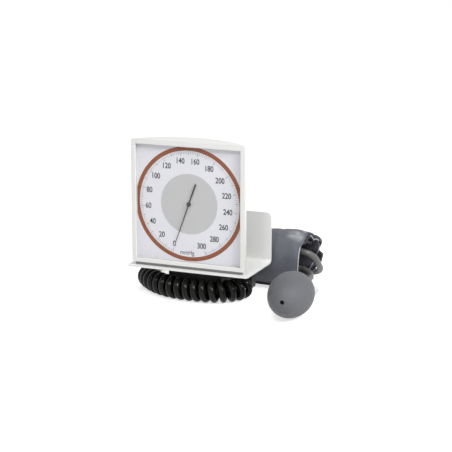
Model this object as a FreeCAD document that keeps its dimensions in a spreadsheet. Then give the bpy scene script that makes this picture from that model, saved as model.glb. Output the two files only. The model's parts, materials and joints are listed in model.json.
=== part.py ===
"""Desk aneroid sphygmomanometer: a large square dial gauge on a bent steel tray with a moulded foot, a
curly hose, a rolled arm cuff and an inflation bulb with its release valve. Millimetres, +Z up, the
origin on the table under the foot, X along the dial, -Y towards the reader."""
import FreeCAD, Part
import math
import os
import re
import Sketcher
from FreeCAD import Placement, Rotation, Vector

SIZES = {
    # tray: one bent sheet, floor and back wall
    "tray_width": 156, "tray_front": 40, "tray_back": 40, "tray_height": 40, "tray_sheet": 2,
    "wall_height": 61, "bend_inside": 4, "tray_corner": 4, "wall_corner": 6,
    # foot under the tray
    "foot_left": 42, "foot_right": 30, "foot_back": 34, "foot_arc": 74.5, "foot_arc_x": 0.5,
    "foot_arc_y": 63.1, "foot_wall": 3, "foot_pad_thickness": 2, "foot_pad_inset": 1, "foot_screw_x": 24,
    "foot_screw_front": 8, "foot_screw_back": 27, "foot_boss": 4.5, "foot_boss_depth": 20,
    "foot_screw_radius": 2, "foot_screw_head": 4, "foot_screw_head_height": 2.2, "foot_screw_length": 16,
    "screw_end_gap": 1, "recess_reach": 1.9, "recess_half": 0.45, "recess_depth": 1.2,
    # gauge housing; depths are measured back from the front of the face
    "face_width": 146, "face_height": 150, "face_front": 36, "housing_depth": 36, "side_band": 6,
    "shell_wall": 2.5, "shell_edge": 2, "spacer_height": 4, "spacer_inset": 3.5,
    "ledge_half": 64, "housing_screw_x": 40, "housing_screw_depth": 16, "housing_screw_radius": 2,
    "housing_screw_head": 4, "housing_screw_head_height": 2.2, "housing_boss": 4.2,
    "housing_boss_height": 9, "housing_screw_length": 13,
    # front frame, window and dial
    "bezel_depth": 4, "bezel_lip": 1.2, "bezel_side": 6, "bezel_top": 6, "bezel_bottom": 5,
    "bezel_bevel": 0.7, "rib_half": 60, "rib_thickness": 1.1, "rib_length": 1.4, "seat_gap": 0.3,
    "window_thickness": 1.5, "gasket_width": 2.6, "dial_depth": 5.5, "dial_thickness": 0.8,
    "dial_hole": 3,
    # pointer and its movement
    "zero_angle": 20, "needle_length": 50, "needle_root": 1.3, "needle_tip": 0.6, "tail_length": 26.4,
    "tail_width": 2.0, "needle_depth": 3.9, "needle_thickness": 0.4, "hub_radius": 2.6,
    "hub_depth": 3.0, "hub_length": 2.2, "hub_cap": 0.5, "hub_bevel": 0.35, "arbor_radius": 0.9,
    "running_gap": 0.05, "plate_depth": 8.0, "plate_thickness": 1.2, "plate_gap": 5.0, "plate_half": 19,
    "plate_top": 21, "plate_bottom": 46, "plate_corner": 3, "pillar_x": 16, "pillar_top": 17,
    "pillar_bottom": 42, "pillar_radius": 2, "plate_screw_radius": 1, "plate_screw_head": 1.8,
    "plate_screw_head_height": 0.9, "plate_screw_length": 12, "screw_slot_half": 0.25,
    "screw_slot_depth": 0.4,
    "pinion_teeth": 12, "pinion_addendum": 0.9, "pinion_dedendum": 1.15, "pinion_width": 2.2,
    "sector_teeth": 144, "sector_addendum": 0.6, "sector_dedendum": 1.25, "sector_cut_teeth": 17,
    "tooth_module": 0.4, "tooth_thinning": 0.05, "pressure_angle": 20, "sweep": 320,
    "sector_thickness": 1.2, "sector_pivot_x": 8, "sector_rim": 2.4, "sector_arm": 2.2, "sector_hub": 2.3,
    "sector_hub_lip": 0.8, "tail_reach": 6.4, "tail_half": 0.8, "tail_contact": 5,
    "spring_pitch": 0.9, "spring_half_turns": 9, "spring_strip": 0.12, "spring_height": 0.6,
    "spring_gap": 0.5, "spring_stud": 0.5, "collet_radius": 1.3, "collet_gap": 0.2,
    "rocker_setback": 4.8, "rocker_radius": 1.2, "rocker_pivot": 0.7, "rocker_end_gap": 0.1,
    "lug_half": 2.5, "lug_height": 2.5, "lug_top": 4, "lug_bottom": 37.5, "lug_end": 1.8,
    "long_arm_angle": 20.9, "long_arm_reach": 8.3, "long_arm_half": 0.5, "arm_thickness": 1.2,
    "short_arm_reach": 8, "short_arm_offset": 1.0, "short_arm_tip": 0.8, "slot_left": 3.6,
    "slot_right": 1.1, "slot_margin": 0.5,
    # aneroid capsule and how it is held
    "capsule_depth": 23.2, "capsule_radius": 20, "capsule_thickness": 5, "capsule_wave": 0.6,
    "capsule_rim": 0.8, "boss_contact": 0.15, "boss_radius": 1.5, "boss_foot": 4, "boss_foot_height": 0.5,
    "boss_sink": 0.15, "base_depth": 29, "base_thickness": 1.2, "base_top": 31, "post_top": 27,
    "post_bottom": 40, "post_radius": 3, "base_screw_radius": 1.25, "base_screw_head": 2.5,
    "base_screw_head_height": 1.6, "base_screw_length": 4.2, "base_screw_end_gap": 0.2,
    # air inlet: capsule stem, nut, elbow, link hose and the block under the tray
    "stem_radius": 3, "stem_end": 42, "stem_end_gap": 0.3, "air_bore": 1, "elbow_nut_flats": 11,
    "elbow_nut_height": 3, "elbow_radius": 5, "elbow_edge": 0.5, "elbow_length": 10, "elbow_drop": 7,
    "elbow_leg": 4.4, "elbow_turn": 40, "link_bore": 2, "link_radius": 3.5, "link_stub": 16,
    "spigot_length": 8, "spigot_end_gap": 0.2, "block_stem_x": 40, "block_stem_y": 27,
    "block_barb_x": 54, "block_half": 6, "block_depth": 30, "block_bridge": 11, "block_corner": 2,
    "block_stem": 4, "block_thread_end": 2, "block_nut_flats": 11, "block_nut_height": 4,
    "block_collar": 5.5, "block_collar_height": 2, "barb_height": 14,
    # curly hose, and the two connector halves lying behind the cuff
    "coil_radius": 14, "hose_radius": 4.25, "hose_bore": 2.5,
    "connector_radius": 6, "connector_grip": 16, "connector_nose": 6, "connector_nose_radius": 4.5,
    "connector_x": 42, "connector_y": 129, "connector_lift": 0.2, "connector_spigot": 8,
    "connector_lead": 22, "connector_bevel": 1,
    # rolled cuff: the wrap's two ends, the core's end with its recess, and the fold that stands out
    "cuff_radius": 35.5, "cuff_left": 35, "cuff_right": 110, "cuff_y": 77.5, "cuff_core_radius": 24,
    "cuff_core_gap": 0.1, "recess_floor": 91, "recess_radius": 19, "core_end": 113, "fold_end": 128,
    "fold_rise": 3, "fold_back": 12.5, "cuff_tube_radius": 4, "cuff_tube_bore": 2.5,
    # inflation bulb; positions run along its own axis from its centre
    "bulb_x": 134.4, "bulb_y": -44, "bulb_z": 26.5, "bulb_heading": -84, "bulb_tilt": 2.6,
    "bulb_length": 87, "bulb_radius": 26.5, "bulb_end": 20, "bulb_wall": 2.5, "inlet_hole": 2.6,
    "insert_radius": 5.5, "insert_face": 39.8, "insert_length": 5.6, "insert_bore": 2, "seat_height": 2.4,
    "cage_radius": 4.6, "cage_lip": 0.7, "cage_lip_bore": 3.4, "flap_radius": 4.2,
    "flap_thickness": 0.8, "flap_gap": 0.3,
    "neck_radius": 9, "neck_start": 38, "neck_end": 49, "valve_stem": 6, "valve_collar": 8,
    "valve_collar_height": 2, "valve_radius": 7, "valve_end": 64, "valve_bore": 2, "valve_bevel": 1,
    "outlet_seat": 42, "outlet_depth": 3.4, "nipple_hex": 5, "nipple_hex_height": 2.5,
    "nipple_length": 8, "nipple_thread": 3, "nipple_thread_length": 4, "nipple_bore": 1.2,
    "bulb_tube_stub": 15,
    # release valve; positions run along the knob's axis from the bulb's
    "knob_roll": 50, "knob_station": 57, "side_boss": 4.6, "side_boss_start": 4.5, "side_boss_end": 11,
    "side_bore_start": 1.5, "needle_hole": 1.55, "valve_needle_radius": 1.5, "needle_seat": 2.6,
    "needle_point": 1.6, "needle_end": 19, "needle_end_gap": 0.2,
    "knob_start": 12, "knob_length": 8, "knob_radius": 8, "knob_flutes": 16, "knob_flute": 0.7,
    "knob_crown": 1.0,
}
WORK_OUT = {
    # sizes that follow from those above
    "axis_height": "tray_height + spacer_height + face_height / 2",
    "half_face": "face_width / 2",
    "half_height": "face_height / 2",
    "back_sagitta": "housing_depth - side_band",
    "back_radius": "(back_sagitta ^ 2 + half_face ^ 2) / (2 * back_sagitta)",
    "back_centre": "housing_depth - back_radius",
    "inner_radius": "back_radius - shell_wall",
    "inner_half": "half_face - shell_wall",
    "inner_height": "half_height - shell_wall",
    "dial_back": "dial_depth + dial_thickness",
    "window_back": "bezel_lip + window_thickness",
    "front_plate_back": "plate_depth + plate_thickness",
    "rear_plate_depth": "front_plate_back + plate_gap",
    "rear_plate_back": "rear_plate_depth + plate_thickness",
    "rocker_depth": "rear_plate_back + rocker_setback",
    "pinion_pitch": "tooth_module * pinion_teeth / 2",
    "sector_pitch": "tooth_module * sector_teeth / 2",
    "gear_distance": "pinion_pitch + sector_pitch",
    "sector_pivot_z": "-sqrt(gear_distance ^ 2 - sector_pivot_x ^ 2)",
    "sector_depth": "front_plate_back + plate_gap / 2",
    "base_back": "base_depth + base_thickness",
    "capsule_back": "capsule_depth + capsule_thickness",
    "boss_front": "rocker_depth - short_arm_offset + short_arm_tip + boss_contact",
    "foot_height": "tray_height - tray_sheet",
    "block_stem_top": "tray_height + block_nut_height + block_thread_end",
    "link_low": "block_stem_top + block_collar_height",
    "connector_height": "connector_radius + connector_lift",
    "cuff_z": "cuff_radius",
    "bulb_end_centre": "bulb_length / 2 - bulb_end",
    "bulb_flank": "(bulb_radius ^ 2 + bulb_end_centre ^ 2 - bulb_end ^ 2) / (2 * (bulb_radius - bulb_end))",
    "bulb_lean_out": "(bulb_flank - bulb_radius) / (bulb_flank - bulb_end)",
    "bulb_lean_up": "bulb_end_centre / (bulb_flank - bulb_end)",
    "hose_end": "valve_end + nipple_hex_height",
}
CLOSE = 0.01    # how near a spot lies to a height or side to be on it

doc = FreeCAD.newDocument("sphygmomanometer")
dim = doc.addObject("Spreadsheet::Sheet", "dim")
nodes = {}


# ---------------------------------------------------------------- tools of the model
def over_sheet(expression):
    """The expression with each size read from the sheet: wall becomes dim.wall."""
    return re.sub(r"\b(?!sqrt|sin|cos|tan)[a-z]\w*", r"dim.\g<0>", str(expression))


def fill_sheet():
    for row, (name, content) in enumerate({**SIZES, **WORK_OUT}.items(), 1):
        dim.set(f"A{row}", name)
        dim.set(f"B{row}", str(content) if name in SIZES else "=" + content)
        dim.setAlias(f"B{row}", name)
    doc.recompute()


def size(expression):
    """The number that an expression over the sheet gives."""
    return float(dim.evalExpression(over_sheet(expression)))


def bind(item, path, expression):
    item.setExpression(path, over_sheet(expression))


def on_desk(item):
    """The frame of the tray, foot and hoses: the origin on the table."""


def on_gauge(item):
    """The gauge's frame: on the pointer's axis at the front of the face, depth along +Y."""
    bind(item, "Placement.Base.y", "-face_front")
    bind(item, "Placement.Base.z", "axis_height")


def bulb_rotation(roll="0"):
    """Turns +Z to the bulb's inlet end, after a roll about that axis."""
    heading = Rotation(Vector(0, 0, 1), size("bulb_heading"))
    tilt = Rotation(Vector(0, 1, 0), 90 - size("bulb_tilt"))
    return heading * tilt * Rotation(Vector(0, 0, 1), size(roll))


def on_bulb(item, roll="0"):
    """The bulb's frame: its centre, +Z along its axis to the inlet."""
    item.Placement = Placement(Vector(), bulb_rotation(roll))
    bind(item, "Placement.Base.x", "bulb_x")
    bind(item, "Placement.Base.y", "bulb_y")
    bind(item, "Placement.Base.z", "bulb_z")


def on_valve(item):
    """The valve's frame: as the bulb's, rolled so that +X is the release knob's axis."""
    on_bulb(item, "knob_roll")


def keep(name, item):
    item.Label = name
    nodes[name] = item
    return item


def new_body(name, frame):
    body = doc.addObject("PartDesign::Body", name)
    frame(body)
    return keep(name, body)


def own_datum(body, role):
    """A body's own plane or axis."""
    return next(item for item in body.Origin.OriginFeatures if item.Role == role)


def new_sketch(body, plane, start="0"):
    """A sketch on one of the body's own planes, moved to start along +X, +Y or +Z."""
    sketch = body.newObject("Sketcher::SketchObject", f"{body.Label}_sketch")
    sketch.AttachmentSupport = [(own_datum(body, f"{plane}_Plane"), "")]
    sketch.MapMode = "FlatFace"
    bind(sketch, "AttachmentOffset.Base.z", f"-({start})" if plane == "XZ" else start)
    return sketch


def place_point(sketch, edge, end, x, y):
    for kind, expression in (("DistanceX", x), ("DistanceY", y)):
        number = sketch.addConstraint(Sketcher.Constraint(kind, -1, 1, edge, end, size(expression)))
        bind(sketch, f"Constraints[{number}]", expression)


def arc_between(start, end, radius):
    """The short arc from start to end; a positive radius has its centre on the left."""
    chord = end - start
    rise = math.sqrt(max(radius ** 2 - (chord.Length / 2) ** 2, 0))
    left = Vector(-chord.y, chord.x, 0).normalize() * math.copysign(1, radius)
    middle = start + chord / 2 + left * (rise - abs(radius))
    return Part.Arc(start, middle, end)


def outline(sketch, corners):
    """A closed outline. A corner is (x, y), or (x, y, radius) where an arc starts there."""
    spots = [Vector(size(corner[0]), size(corner[1]), 0) for corner in corners]
    first, ends = sketch.GeometryCount, []
    for corner, start, end in zip(corners, spots, spots[1:] + spots[:1]):
        if len(corner) == 3:
            sketch.addGeometry(arc_between(start, end, size(corner[2])))
            # an arc drawn clockwise is stored from its end to its start
            ends.append((1, 2) if size(corner[2]) > 0 else (2, 1))
        else:
            sketch.addGeometry(Part.LineSegment(start, end))
            ends.append((1, 2))
    for number, corner in enumerate(corners):
        edge, following = first + number, (number + 1) % len(corners)
        next_start = ends[following][0]
        sketch.addConstraint(Sketcher.Constraint(
            "Coincident", edge, ends[number][1], first + following, next_start))
        place_point(sketch, edge, ends[number][0], corner[0], corner[1])
        if len(corner) == 3:
            radius = Sketcher.Constraint("Radius", edge, abs(size(corner[2])))
            constraint = sketch.addConstraint(radius)
            bind(sketch, f"Constraints[{constraint}]", corner[2].removeprefix("-"))


def circle(sketch, x, y, radius):
    edge = sketch.addGeometry(Part.Circle(Vector(size(x), size(y), 0), Vector(0, 0, 1), size(radius)))
    place_point(sketch, edge, 3, x, y)
    number = sketch.addConstraint(Sketcher.Constraint("Radius", edge, size(radius)))
    bind(sketch, f"Constraints[{number}]", radius)


def circles(radius, *centres):
    return lambda sketch: [circle(sketch, x, y, radius) for x, y in centres]


def polygon(*corners):
    return lambda sketch: outline(sketch, list(corners))


def box_outline(left, low, right, high):
    return polygon((left, low), (right, low), (right, high), (left, high))


def hexagon(flats, x="0", y="0"):
    """A hexagon by its distance across flats, for nuts."""
    return polygon(*[(f"{x} + {flats} / sqrt(3) * cos({60 * corner})",
                      f"{y} + {flats} / sqrt(3) * sin({60 * corner})") for corner in range(6)])


def extend(body, plane, start, length, draw):
    """Adds what draw outlines, from start over length along +X, +Y or +Z."""
    sketch = new_sketch(body, plane, start)
    draw(sketch)
    feature = body.newObject("PartDesign::Pad", f"{body.Label}_pad")
    feature.Profile = sketch
    feature.Reversed = plane == "XZ"
    bind(feature, "Length", length)
    doc.recompute()


def cut(body, plane, start, length, draw):
    """Removes what draw outlines, from start over length along +X, +Y or +Z."""
    before = body.Shape.Volume
    sketch = new_sketch(body, plane, start)
    draw(sketch)
    feature = body.newObject("PartDesign::Pocket", f"{body.Label}_pocket")
    feature.Profile = sketch
    feature.Reversed = plane != "XZ"
    bind(feature, "Length", length)
    doc.recompute()
    assert body.Shape.Volume < before, f"a pocket of {body.Label} cuts nothing"
    return feature


def turn(body, plane, axis, draw):
    """Turns an outline about the sketch's own H or V axis."""
    sketch = new_sketch(body, plane)
    draw(sketch)
    feature = body.newObject("PartDesign::Revolution", f"{body.Label}_turn")
    feature.Profile = sketch
    feature.ReferenceAxis = (sketch, [f"{axis}_Axis"])
    feature.Angle = 360
    doc.recompute()


def edges_at(shape, test, middle_test):
    """The names of a shape's edges whose middle and both ends pass a test, and the middle its own."""
    found = []
    for number, edge in enumerate(shape.Edges, 1):
        first, last = edge.ParameterRange
        middle = edge.valueAt((first + last) / 2)
        spots = [edge.valueAt(first), middle, edge.valueAt(last)]
        if all(test(spot) for spot in spots) and middle_test(middle):
            found.append(f"Edge{number}")
    return found


def dress(body, kind, amount, test, middle_test=lambda spot: True):
    """Fillets or chamfers the body's edges that pass a test."""
    base = body.Tip
    names = edges_at(base.Shape, test, middle_test)
    assert names, f"{body.Label} has no edge to dress"
    feature = body.newObject(f"PartDesign::{kind}", f"{body.Label}_{kind}")
    feature.Base = (base, names)
    bind(feature, "Radius" if kind == "Fillet" else "Size", amount)
    doc.recompute()


def near(number, expression):
    return abs(number - size(expression)) < CLOSE


def within(number, expression):
    """Whether a coordinate lies no further from the middle than a size."""
    return abs(number) < size(expression) + CLOSE


def keep_shape(name, shape, frame):
    """Keeps a shape that no sketch draws, such as gear teeth or a hose."""
    assert shape.Placement.isIdentity(), f"{name} has a placement, which its frame would replace"
    item = doc.addObject("Part::Feature", name)
    item.Shape = shape
    frame(item)
    keep(name, item)


# ---------------------------------------------------------------- tray and foot
FOOT_SCREWS = [(x, y) for x in ("-foot_screw_x", "foot_screw_x")
               for y in ("foot_screw_front", "foot_screw_back")]
HOUSING_SCREWS = [(x, "housing_screw_depth") for x in ("-housing_screw_x", "housing_screw_x")]
HOUSING_SCREWS_ON_DESK = [(x, f"{depth} - face_front") for x, depth in HOUSING_SCREWS]


def make_tray():
    """Floor and back wall from one sheet, bent round bend_inside."""
    tray = new_body("tray", on_desk)
    outer = "(bend_inside + tray_sheet)"
    extend(tray, "YZ", "-tray_width / 2", "tray_width", polygon(
        ("-tray_front", "foot_height"),
        (f"tray_back - {outer}", "foot_height", "bend_inside + tray_sheet"),
        ("tray_back", f"foot_height + {outer}"),
        ("tray_back", "tray_height + wall_height"),
        ("tray_back - tray_sheet", "tray_height + wall_height"),
        ("tray_back - tray_sheet", "tray_height + bend_inside", "-bend_inside"),
        (f"tray_back - {outer}", "tray_height"),
        ("-tray_front", "tray_height")))
    dress(tray, "Fillet", "tray_corner", lambda spot: (
        near(abs(spot.x), "tray_width / 2") and near(spot.y, "-tray_front")))
    dress(tray, "Fillet", "wall_corner", lambda spot: (
        near(abs(spot.x), "tray_width / 2") and near(spot.z, "tray_height + wall_height")))
    cut(tray, "XY", "foot_height", "tray_sheet", circles("foot_screw_radius + running_gap", *FOOT_SCREWS))
    cut(tray, "XY", "foot_height", "tray_sheet",
        circles("housing_screw_radius + running_gap", *HOUSING_SCREWS_ON_DESK))
    cut(tray, "XY", "foot_height", "tray_sheet",
        circles("block_stem + running_gap", ("block_stem_x", "block_stem_y")))


def foot_outline(inset):
    """The foot's plan: straight sides and back, the front hollowed round the curly hose's arc."""
    arc = f"(foot_arc - {inset})"
    left, right = f"(foot_left - {inset})", f"(foot_right - {inset})"
    back = f"foot_back - {inset}"
    return polygon(
        (f"-{left}", f"foot_arc_y - sqrt({arc} ^ 2 - ({left} + foot_arc_x) ^ 2)", f"foot_arc - {inset}"),
        (right, f"foot_arc_y - sqrt({arc} ^ 2 - ({right} - foot_arc_x) ^ 2)"),
        (right, back), (f"-{left}", back))


def cross_recess(x, y):
    """The driving cross of a screw head."""
    corners = [("-recess_half", "-recess_reach"), ("recess_half", "-recess_reach"),
               ("recess_half", "-recess_half"), ("recess_reach", "-recess_half"),
               ("recess_reach", "recess_half"), ("recess_half", "recess_half"),
               ("recess_half", "recess_reach"), ("-recess_half", "recess_reach"),
               ("-recess_half", "recess_half"), ("-recess_reach", "recess_half"),
               ("-recess_reach", "-recess_half"), ("-recess_half", "-recess_half")]
    return polygon(*[(f"{x} + {across}", f"{y} + {up}") for across, up in corners])


def make_foot():
    """A hollow moulded foot, open below, with a boss for each of its screws, on a rubber pad."""
    foot = new_body("pedestal", on_desk)
    height = "(foot_height - foot_pad_thickness)"
    extend(foot, "XY", "foot_pad_thickness", height, foot_outline("0"))
    cut(foot, "XY", "foot_pad_thickness", f"{height} - foot_wall", foot_outline("foot_wall"))
    extend(foot, "XY", "foot_height - foot_wall - foot_boss_depth", "foot_boss_depth + foot_wall / 2",
           circles("foot_boss", *FOOT_SCREWS))
    cut(foot, "XY", "foot_height - foot_screw_length", "foot_screw_length",
        circles("foot_screw_radius", *FOOT_SCREWS))
    pad = new_body("foot_pad", on_desk)
    extend(pad, "XY", "0", "foot_pad_thickness", foot_outline("foot_pad_inset"))
    screws = new_body("pedestal_screws", on_desk)
    top = "tray_height + foot_screw_head_height"
    extend(screws, "XY", "tray_height - foot_screw_length + screw_end_gap",
           "foot_screw_length - screw_end_gap", circles("foot_screw_radius", *FOOT_SCREWS))
    extend(screws, "XY", "tray_height", "foot_screw_head_height", circles("foot_screw_head", *FOOT_SCREWS))
    dress(screws, "Chamfer", "foot_screw_head_height / 2", lambda spot: near(spot.z, top))
    for x, y in FOOT_SCREWS:
        cut(screws, "XY", f"{top} - recess_depth", "recess_depth", cross_recess(x, y))


# ---------------------------------------------------------------- gauge housing
BASE_SCREWS = [("0", "post_top"), ("0", "-post_bottom")]


def d_outline(half, front, radius, low_side):
    """A D in plan: straight front and sides, then an arc about the housing's own back centre."""
    return polygon((f"-{half}", front), (half, front), (half, low_side, radius), (f"-{half}", low_side))


def arc_start(half, radius):
    return f"back_centre + sqrt(({radius}) ^ 2 - ({half}) ^ 2)"


def make_housing_spacer():
    spacer = new_body("housing_spacer", on_gauge)
    half, radius = "(half_face - spacer_inset)", "back_radius - spacer_inset"
    extend(spacer, "XY", "-half_height - spacer_height", "spacer_height",
           d_outline(half, "spacer_inset", radius, arc_start(half, radius)))
    cut(spacer, "XY", "-half_height - spacer_height", "spacer_height",
        circles("housing_screw_radius + running_gap", *HOUSING_SCREWS))


def make_rear_shell():
    """The moulded case behind the front frame: its back is one arc from side to side."""
    shell = new_body("rear_shell", on_gauge)
    extend(shell, "XY", "-half_height", "face_height",
           d_outline("half_face", "bezel_depth", "back_radius", "side_band"))
    dress(shell, "Fillet", "shell_edge", lambda spot: near(abs(spot.z), "half_height"),
          lambda middle: not near(middle.y, "bezel_depth"))
    cut(shell, "XY", "-inner_height", "2 * inner_height", polygon(
        ("-inner_half", "0"), ("inner_half", "0"), ("inner_half", "dial_back"),
        ("ledge_half", "dial_back"),
        ("ledge_half", arc_start("ledge_half", "inner_radius"), "inner_radius"),
        ("-ledge_half", arc_start("ledge_half", "inner_radius")),
        ("-ledge_half", "dial_back"), ("-inner_half", "dial_back")))
    extend(shell, "XZ", "base_back", "housing_depth - shell_wall / 2 - base_back",
           circles("post_radius", *BASE_SCREWS))
    extend(shell, "XY", "-inner_height - shell_wall / 2", "housing_boss_height + shell_wall / 2",
           circles("housing_boss", *HOUSING_SCREWS))
    cut(shell, "XY", "-half_height", "housing_screw_length - tray_sheet - spacer_height + screw_end_gap",
        circles("housing_screw_radius + running_gap", *HOUSING_SCREWS))
    cut(shell, "XZ", "base_back", "base_screw_length - base_thickness + base_screw_end_gap",
        circles("base_screw_radius", *BASE_SCREWS))
    cut(shell, "XZ", "base_back", "housing_depth - base_back",
        circles("stem_radius + running_gap", ("0", "0")))


def make_housing_screws():
    """Pan screws from under the tray up into the case's bosses."""
    screws = new_body("housing_screws", on_gauge)
    under = "(-half_height - spacer_height - tray_sheet)"
    extend(screws, "XY", under, "housing_screw_length", circles("housing_screw_radius", *HOUSING_SCREWS))
    extend(screws, "XY", f"{under} - housing_screw_head_height", "housing_screw_head_height",
           circles("housing_screw_head", *HOUSING_SCREWS))
    dress(screws, "Chamfer", "housing_screw_head_height / 2",
          lambda spot: near(spot.z, f"{under} - housing_screw_head_height"))


def make_front_bezel():
    """The front frame: a lip over the window, a rim on the case and two locating ribs inside it."""
    bezel = new_body("front_bezel", on_gauge)
    rim = box_outline("-half_face", "-half_height", "half_face", "half_height")
    extend(bezel, "XZ", "0", "bezel_depth", rim)
    dress(bezel, "Fillet", "shell_edge",
          lambda spot: near(abs(spot.x), "half_face") and near(abs(spot.z), "half_height"))
    cut(bezel, "XZ", "0", "bezel_lip", box_outline(
        "-half_face + bezel_side", "-half_height + bezel_bottom",
        "half_face - bezel_side", "half_height - bezel_top"))
    cut(bezel, "XZ", "bezel_lip", "bezel_depth - bezel_lip",
        box_outline("-inner_half", "-inner_height", "inner_half", "inner_height"))
    dress(bezel, "Chamfer", "bezel_bevel", lambda spot: (
        near(spot.y, "0") and within(spot.x, "half_face - bezel_side")
        and within(spot.z, "half_height - bezel_bottom")))
    for low, high in (("inner_height - seat_gap - rib_thickness", "inner_height - seat_gap"),
                      ("-inner_height + seat_gap", "-inner_height + seat_gap + rib_thickness")):
        extend(bezel, "XZ", "bezel_depth", "rib_length", box_outline("-rib_half", low, "rib_half", high))


def make_window_and_dial():
    half, height = "inner_half - seat_gap", "inner_height - seat_gap"
    window = new_body("window", on_gauge)
    extend(window, "XZ", "bezel_lip", "window_thickness",
           box_outline(f"-({half})", f"-({height})", half, height))
    gasket = new_body("window_gasket", on_gauge)
    tall = "inner_height - seat_gap - rib_thickness - seat_gap"
    extend(gasket, "XZ", "window_back", "dial_depth - window_back",
           box_outline(f"-({half})", f"-({tall})", half, tall))
    cut(gasket, "XZ", "window_back", "dial_depth - window_back",
        box_outline(f"-({half}) + gasket_width", f"-({tall}) + gasket_width / 3",
                    f"{half} - gasket_width", f"{tall} - gasket_width / 3"))
    dial = new_body("dial_plate", on_gauge)
    extend(dial, "XZ", "dial_depth", "dial_thickness",
           box_outline(f"-({half})", f"-({height})", half, height))
    cut(dial, "XZ", "dial_depth", "dial_thickness", circles("dial_hole", ("0", "0")))


# ---------------------------------------------------------------- pointer and movement
def at_zero(item):
    """The gauge's frame, turned clockwise from straight down to the dial's zero."""
    item.Placement = Placement(Vector(), Rotation(Vector(0, 1, 0), size("zero_angle")))
    on_gauge(item)


def make_pointer():
    """A thin blade with a broad tail, pressed with its hub on the arbor."""
    pointer = new_body("pointer", at_zero)
    extend(pointer, "XZ", "needle_depth", "needle_thickness", polygon(
        ("-needle_root / 2", "0"), ("-needle_tip / 2", "-needle_length + needle_tip"),
        ("0", "-needle_length"), ("needle_tip / 2", "-needle_length + needle_tip"),
        ("needle_root / 2", "0"), ("tail_width / 2", "tail_length"), ("-tail_width / 2", "tail_length")))
    extend(pointer, "XZ", "hub_depth", "hub_length", circles("hub_radius", ("0", "0")))
    dress(pointer, "Chamfer", "hub_bevel", lambda spot: near(spot.y, "hub_depth"))
    cut(pointer, "XZ", "hub_depth + hub_cap", "hub_length - hub_cap", circles("arbor_radius", ("0", "0")))


def tooth_flanks(gear):
    """One involute tooth of the gear, as (radius, angle) points from one root to the other."""
    module = size("tooth_module")
    pitch, angle = size(f"{gear}_pitch"), math.radians(size("pressure_angle"))
    base = pitch * math.cos(angle)
    tip = pitch + size(f"{gear}_addendum") * module
    root = pitch - size(f"{gear}_dedendum") * module

    def involute(radius):
        roll = math.acos(min(base / radius, 1))
        return math.tan(roll) - roll

    half = (math.pi * module / 2 - size("tooth_thinning")) / (2 * pitch) + involute(pitch)
    low = max(base, root)
    radii = [low + (tip - low) * step / 3 for step in range(4)]
    flank = [(radius, half - involute(radius)) for radius in radii]
    if root < base:
        flank.insert(0, (root, half))
    return [(radius, -angle) for radius, angle in flank] + flank[::-1]


def tooth_run(gear, count, middle):
    """The corners of count teeth in a row, as vectors in the XZ plane about the gear's own centre."""
    step = math.radians(360 / size(f"{gear}_teeth"))
    corners = []
    for number in range(count):
        centre = middle + step * (number - (count - 1) / 2)
        for radius, angle in tooth_flanks(gear):
            along = centre + angle
            corners.append(Vector(radius * math.sin(along), 0, radius * math.cos(along)))
    return corners


def prism(corners, depth, thickness):
    """A solid along +Y from a polygon in the XZ plane."""
    face = Part.Face(Part.makePolygon(corners + corners[:1]))
    face.translate(Vector(0, depth, 0))
    return face.extrude(Vector(0, thickness, 0))


def disc(radius, depth, thickness):
    """A round solid on the pointer's axis, from depth over thickness."""
    return Part.makeCylinder(size(radius), thickness, Vector(0, depth, 0), Vector(0, 1, 0))


def line_of_centres():
    """The angle of the pinion seen from the sector's pivot, clockwise from straight up."""
    return math.atan2(-size("sector_pivot_x"), -size("sector_pivot_z"))


def make_pinion_arbor():
    """The pointer's shaft with its pinion and the hairspring's collet, in one piece."""
    teeth = int(size("pinion_teeth"))
    half_tooth, half_sweep = math.pi / teeth, math.radians(size("sweep / 2"))
    # in mid-sweep a gap between two teeth faces the sector
    middle = line_of_centres() + math.pi + half_tooth * teeth - half_sweep
    depth = size("sector_depth + sector_thickness / 2 - pinion_width / 2")
    front, collet = size("hub_depth + hub_cap"), size("front_plate_back + collet_gap")
    shape = disc("arbor_radius", front, size("rear_plate_back") - front)
    shape = shape.fuse(prism(tooth_run("pinion", teeth, middle), depth, size("pinion_width")))
    shape = shape.fuse(disc("collet_radius", collet, depth - collet))
    keep_shape("pinion_arbor", shape.removeSplitter(), on_gauge)


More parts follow.
